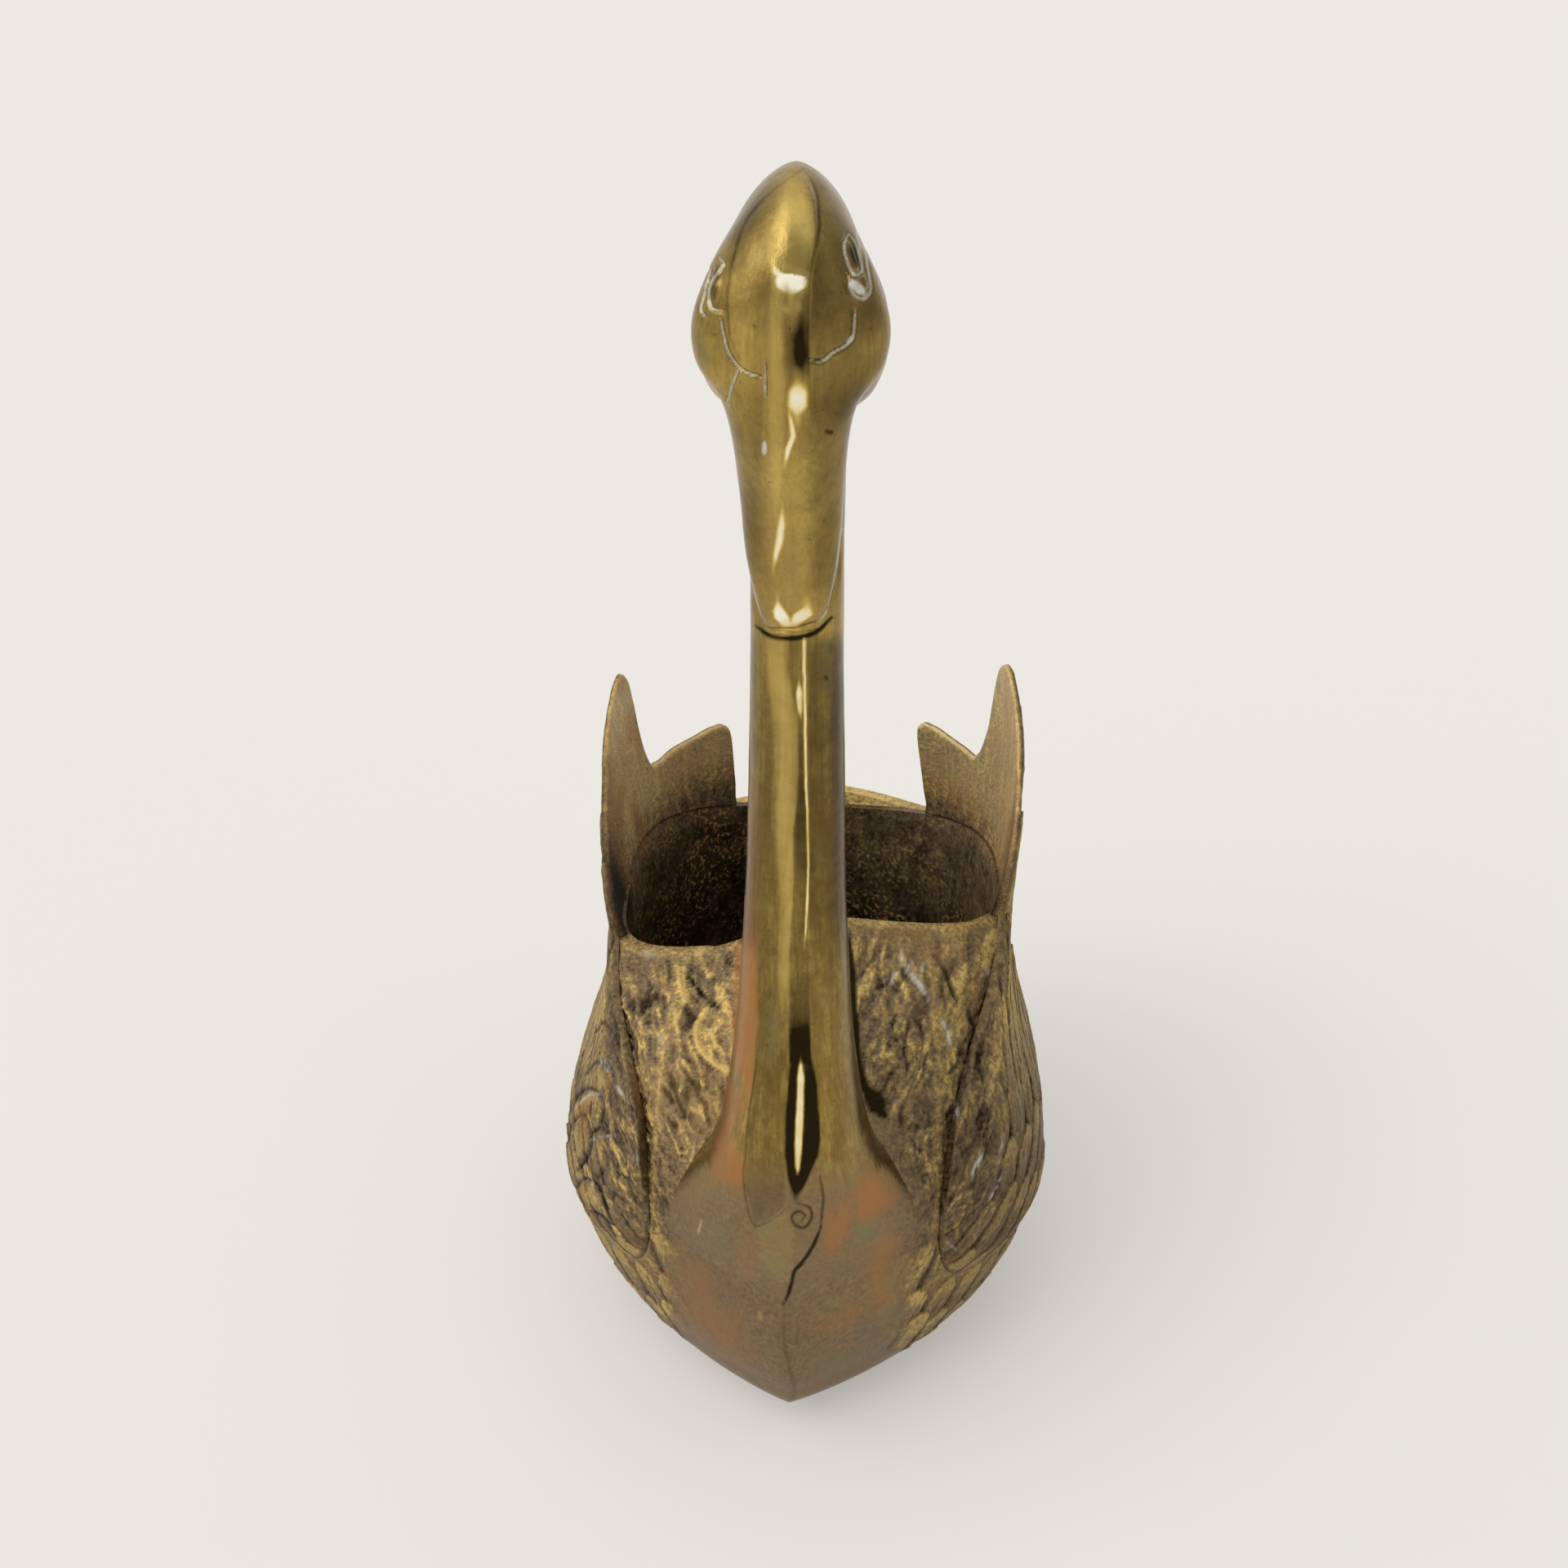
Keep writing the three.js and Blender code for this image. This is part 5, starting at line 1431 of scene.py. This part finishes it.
AGED_STOPS = [
    (0.0, (34, 27, 18)), (0.22, (70, 57, 40)), (0.45, (110, 94, 72)), (0.64, (138, 117, 83)),
    (0.82, (170, 143, 90)), (1.0, (212, 182, 112)),
]
AGED_BROWN, AGED_YELLOW = colour(122, 97, 78), colour(142, 114, 68)
GOLD_LOW, GOLD_HIGH, GOLD_DULL = colour(172, 144, 74), colour(198, 170, 92), colour(140, 115, 74)
GOLD_GRAIN, GOLD_BRUSHED, GOLD_STREAK = colour(112, 88, 54), colour(112, 90, 46), colour(116, 93, 52)
GOLD_PITS, HALF_POLISHED = colour(92, 72, 42), colour(146, 123, 90)
COPPER_TINT, GREEN_TINT = colour(180, 124, 72), colour(134, 132, 96)
# Colours of painted shade and painted sheen, then of painted glints, specks in the bowl and white polish
PAINTED_SHADE_TINT, PAINTED_SHEEN_TINT = colour(40, 33, 18), colour(236, 206, 116)
PAINTED_GLINT_TINT, BOWL_SPECKS, WHITE_POLISH = colour(255, 252, 232), colour(214, 170, 96), colour(216, 214, 200)
HEAD_STARTS, BUMP_DISTANCE = (0.19, 0.215), 0.00045


def textures(n):
    """The noises of the metal, each around 0.5, and how much less of them the head shows."""
    place = n.add("ShaderNodeTexCoord").outputs["Object"]
    upright = n.stretched(place, (1.0, 1.0, 0.06))
    slanted = n.stretched(place, (1.0, 1.0, 0.16), (0.5, 0.35, 0.2))
    height = n.add("ShaderNodeSeparateXYZ", {0: place}).outputs[2]
    return SimpleNamespace(
        fine=n.noise(900.0, 5.0, 0.6, place),
        grains=n.noise(330.0, 5.0, 0.7, place),
        patches=n.noise(70.0, 4.0, 0.6, place, 0.6),
        wide=n.noise(26.0, 3.0, 0.5, place),
        brushed=n.noise(1500.0, 3.0, 0.6, upright),
        streaks=n.noise(330.0, 4.0, 0.6, upright),
        scratches=n.noise(420.0, 4.0, 0.65, slanted),
        on_head=n.spread(height, *HEAD_STARTS, 1.0, 0.6),
    )


def aged_colour(n, t, v):
    """Dark hollows and gold heights, with brown and yellow patches; painted light lifts it towards gold."""
    height = n.math("ADD", v["relief"], n.spread(t.fine, 0.32, 0.68, -0.24, 0.24), True)
    height = n.math("ADD", height, n.spread(t.grains, 0.3, 0.7, -0.11, 0.11), True)
    height = n.math("ADD", height, n.spread(v["shade"], 0.5, 1.0, 0.0, 0.3), True)
    scratched = n.math("MULTIPLY", v["inside"], n.spread(t.scratches, 0.38, 0.62, -0.12, 0.12))
    ramp = n.add("ShaderNodeValToRGB", {"Fac": n.math("ADD", height, scratched, True)})
    elements = ramp.color_ramp.elements
    elements[0].color, elements[1].color = colour(*AGED_STOPS[0][1]), colour(*AGED_STOPS[-1][1])
    for position, tint in AGED_STOPS[1:-1]:
        elements.new(position).color = colour(*tint)
    aged = n.blend(n.spread(t.patches, 0.48, 0.72, 0.0, 0.45), ramp.outputs["Color"], AGED_BROWN)
    return n.blend(n.spread(t.wide, 0.52, 0.7, 0.0, 0.4), aged, AGED_YELLOW)


def gold_colour(n, t, v):
    """Polished brass, with brushed lines that are weaker on the head, and a duller half-polished state."""
    gold = n.blend(n.spread(t.patches, 0.3, 0.7), GOLD_LOW, GOLD_HIGH)
    gold = n.blend(n.spread(t.wide, 0.42, 0.68, 0.0, 0.6), gold, GOLD_DULL)
    for noise_of, low, high, most, tint in (
        (t.grains, 0.42, 0.68, 0.6, GOLD_GRAIN), (t.brushed, 0.35, 0.65, 0.45, GOLD_BRUSHED),
        (t.streaks, 0.35, 0.62, 0.6, GOLD_STREAK),
    ):
        gold = n.blend(n.math("MULTIPLY", n.spread(noise_of, low, high, 0.0, most), t.on_head), gold, tint)
    gold = n.blend(n.spread(t.fine, 0.62, 0.7, 0.0, 0.5), gold, GOLD_PITS)
    return n.blend(n.spread(v["polish"], 0.95, 0.6), gold, HALF_POLISHED)


def base_colour(n, t, v):
    """Aged and polished metal with tints, painted shade, painted sheen and glints, specks in the bowl and
    white polish.
    """
    shade, polish = v["shade"], v["polish"]
    specks = n.math("MULTIPLY", n.spread(t.fine, 0.53, 0.63), n.spread(t.patches, 0.35, 0.6))
    base = n.blend(polish, aged_colour(n, t, v), gold_colour(n, t, v))
    for factor, tint in (
        (n.math("MULTIPLY", v["copper"], 0.75), COPPER_TINT),
        (n.math("MULTIPLY", v["green"], 0.7), GREEN_TINT),
        # Painted shade below a shade of 0.5, painted sheen and glints above it on the polished metal
        (n.spread(shade, 0.5, 0.05), PAINTED_SHADE_TINT),
        (n.math("MULTIPLY", n.spread(shade, 0.5, 1.0), polish), PAINTED_SHEEN_TINT),
        (n.math("MULTIPLY", n.spread(shade, 0.85, 1.35), polish), PAINTED_GLINT_TINT),
        (n.math("MULTIPLY", n.spread(v["bowl"], 0.1, 0.5), specks), BOWL_SPECKS),
        (v["white"], WHITE_POLISH),
    ):
        base = n.blend(factor, base, tint)
    return base


def brass(name):
    """Cast brass: polished where the polish value is 1, aged and worked elsewhere."""
    material = bpy.data.materials.new(name)
    n = Nodes(material)
    t = textures(n)
    v = {key: n.value(key) for key in (
        "relief", "polish", "copper", "green", "white", "shade", "bowl", "inside",
    )}
    rough = n.add("ShaderNodeMix", data_type="FLOAT")
    n.tree.links.new(v["polish"], rough.inputs[0])
    n.tree.links.new(n.spread(t.fine, 0.3, 0.7, 0.38, 0.58), rough.inputs[2])
    n.tree.links.new(n.spread(t.patches, 0.3, 0.75, 0.19, 0.30), rough.inputs[3])
    tinted = n.math("MULTIPLY", n.math("MAXIMUM", v["copper"], v["green"]), 0.12)
    roughness = n.math("ADD", rough.outputs[0], tinted)
    roughness = n.math("ADD", roughness, n.math("MULTIPLY", v["white"], 0.5), True)
    # Painted glints, like the white residue, turn partly from metal to a paler matt colour
    glint = n.math("MULTIPLY", n.spread(v["shade"], 0.9, 1.3), v["polish"])
    residue_and_glint = n.math("MULTIPLY", n.math("MAXIMUM", v["white"], glint), 0.95)
    dull = n.math("ADD", residue_and_glint, n.math("MULTIPLY", v["inside"], 0.5))
    grit = n.math("MULTIPLY", t.fine, n.spread(v["polish"], 0.0, 1.0, 1.0, 0.10))
    grain = n.math("MULTIPLY", t.brushed, n.spread(v["polish"], 0.0, 1.0, 0.15, 0.10))
    height = n.math("ADD", grit, grain)
    bump = n.add("ShaderNodeBump", {"Height": height, "Strength": 0.8, "Distance": BUMP_DISTANCE})
    shader = n.add("ShaderNodeBsdfPrincipled", {
        "Base Color": base_colour(n, t, v), "Roughness": roughness,
        "Metallic": n.math("SUBTRACT", 1.0, dull, True), "Normal": bump.outputs[0],
    })
    n.add("ShaderNodeOutputMaterial", {"Surface": shader.outputs[0]})
    return material


SHARP_ANGLE = math.radians(62)
finishes = {slot: brass(slot) for slot in ("aged_brass", "worn_brass", "polished_brass")}
pieces = [
    (halves["left_hull_half"], "left_hull_half", "aged_brass"),
    (halves["right_hull_half"], "right_hull_half", "aged_brass"),
    (left_wing, "left_wing", "worn_brass"),
    (right_wing, "right_wing", "worn_brass"),
    (tail_plate, "tail", "worn_brass"),
    (swan, "neck_and_head", "polished_brass"),
]
for piece, node, slot in pieces:
    piece.name = node + "_cast"
    paint(piece)
    mesh = piece.data
    mesh.materials.clear()
    mesh.materials.append(finishes[slot])
    mesh.polygons.foreach_set("material_index", np.zeros(len(mesh.polygons), np.int32))
    mesh.polygons.foreach_set("use_smooth", np.ones(len(mesh.polygons), bool))
    mesh.set_sharp_from_angle(angle=SHARP_ANGLE)
    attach(piece, "root")
    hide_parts(node)


# Studio
PALE, PALE_SKY, SELF_LIT, FLOOR_HALF = colour(235, 232, 227), colour(235, 233, 229), 0.42, 4000.0
SKY, FLAG, LEE = (1.0, 1.0, 1.0, 1), (0.40, 0.40, 0.40, 1), (0.5, 0.5, 0.5, 1)
BOX = (1.9, 1.9, 0.98 * 1.9, 1)
SUN_STRENGTH, SUN_ANGLE, SUN_TURN = 0.3, math.radians(34), (math.radians(22), math.radians(-42), 0)


def floor_finish():
    """A matt pale floor that is partly lit by itself as the camera and the brass see it."""
    material = bpy.data.materials.new("floor")
    n = Nodes(material)
    matt = {"Base Color": PALE, "Roughness": 1.0, "Specular IOR Level": 0.0}
    shader = n.add("ShaderNodeBsdfPrincipled", matt)
    rays = n.add("ShaderNodeLightPath").outputs
    seen = n.math("ADD", rays["Is Camera Ray"], rays["Is Glossy Ray"])
    seen = n.math("ADD", seen, rays["Is Transmission Ray"], True)
    glow = n.add("ShaderNodeEmission", {"Color": PALE, "Strength": 1.0})
    share = n.math("MULTIPLY", seen, SELF_LIT)
    blend = n.add("ShaderNodeMixShader", {0: share, 1: shader.outputs[0], 2: glow.outputs[0]})
    n.add("ShaderNodeOutputMaterial", {"Surface": blend.outputs[0]})
    return material


def studio_world():
    """A pale sky with a dark flag above the camera, a softer lee side and a bright box at the upper left."""
    world = bpy.data.worlds.new("studio")
    n = Nodes(world)
    direction = n.add("ShaderNodeTexCoord").outputs["Generated"]
    upward = n.add("ShaderNodeSeparateXYZ", {0: direction}).outputs[2]
    sky = n.blend(n.spread(upward, 0.30, 0.55), PALE_SKY, SKY)
    for aim, low, high, light in (
        ((0.15, -0.75, 0.62), 0.72, 0.93, FLAG), ((1.0, 0.1, 0.4), 0.62, 0.95, LEE),
        ((-0.62, -0.30, 0.72), 0.80, 0.96, BOX),
    ):
        aim = np.array(aim) / math.sqrt(aim[0] * aim[0] + aim[1] * aim[1] + aim[2] * aim[2])
        near = n.add("ShaderNodeVectorMath", {0: direction, 1: tuple(aim)}, operation="DOT_PRODUCT")
        sky = n.blend(n.spread(near.outputs["Value"], low, high), sky, light)
    background = n.add("ShaderNodeBackground", {"Color": sky, "Strength": 1.0})
    n.add("ShaderNodeOutputWorld", {"Surface": background.outputs[0]})
    return world


floor_corners = np.array([[-1, -1, 0], [1, -1, 0], [1, 1, 0], [-1, 1, 0]]) * FLOOR_HALF
floor = new_mesh("floor", floor_corners, [[0, 1, 2, 3]])
floor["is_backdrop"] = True
floor.data.materials.append(floor_finish())
bpy.context.scene.world = studio_world()

sun = bpy.data.lights.new("sun", "SUN")
sun.energy, sun.angle = SUN_STRENGTH, SUN_ANGLE
sun_thing = bpy.data.objects.new("sun", sun)
bpy.context.scene.collection.objects.link(sun_thing)
sun_thing.rotation_euler = SUN_TURN

bpy.context.scene.view_settings.view_transform = "Standard"

low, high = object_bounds()
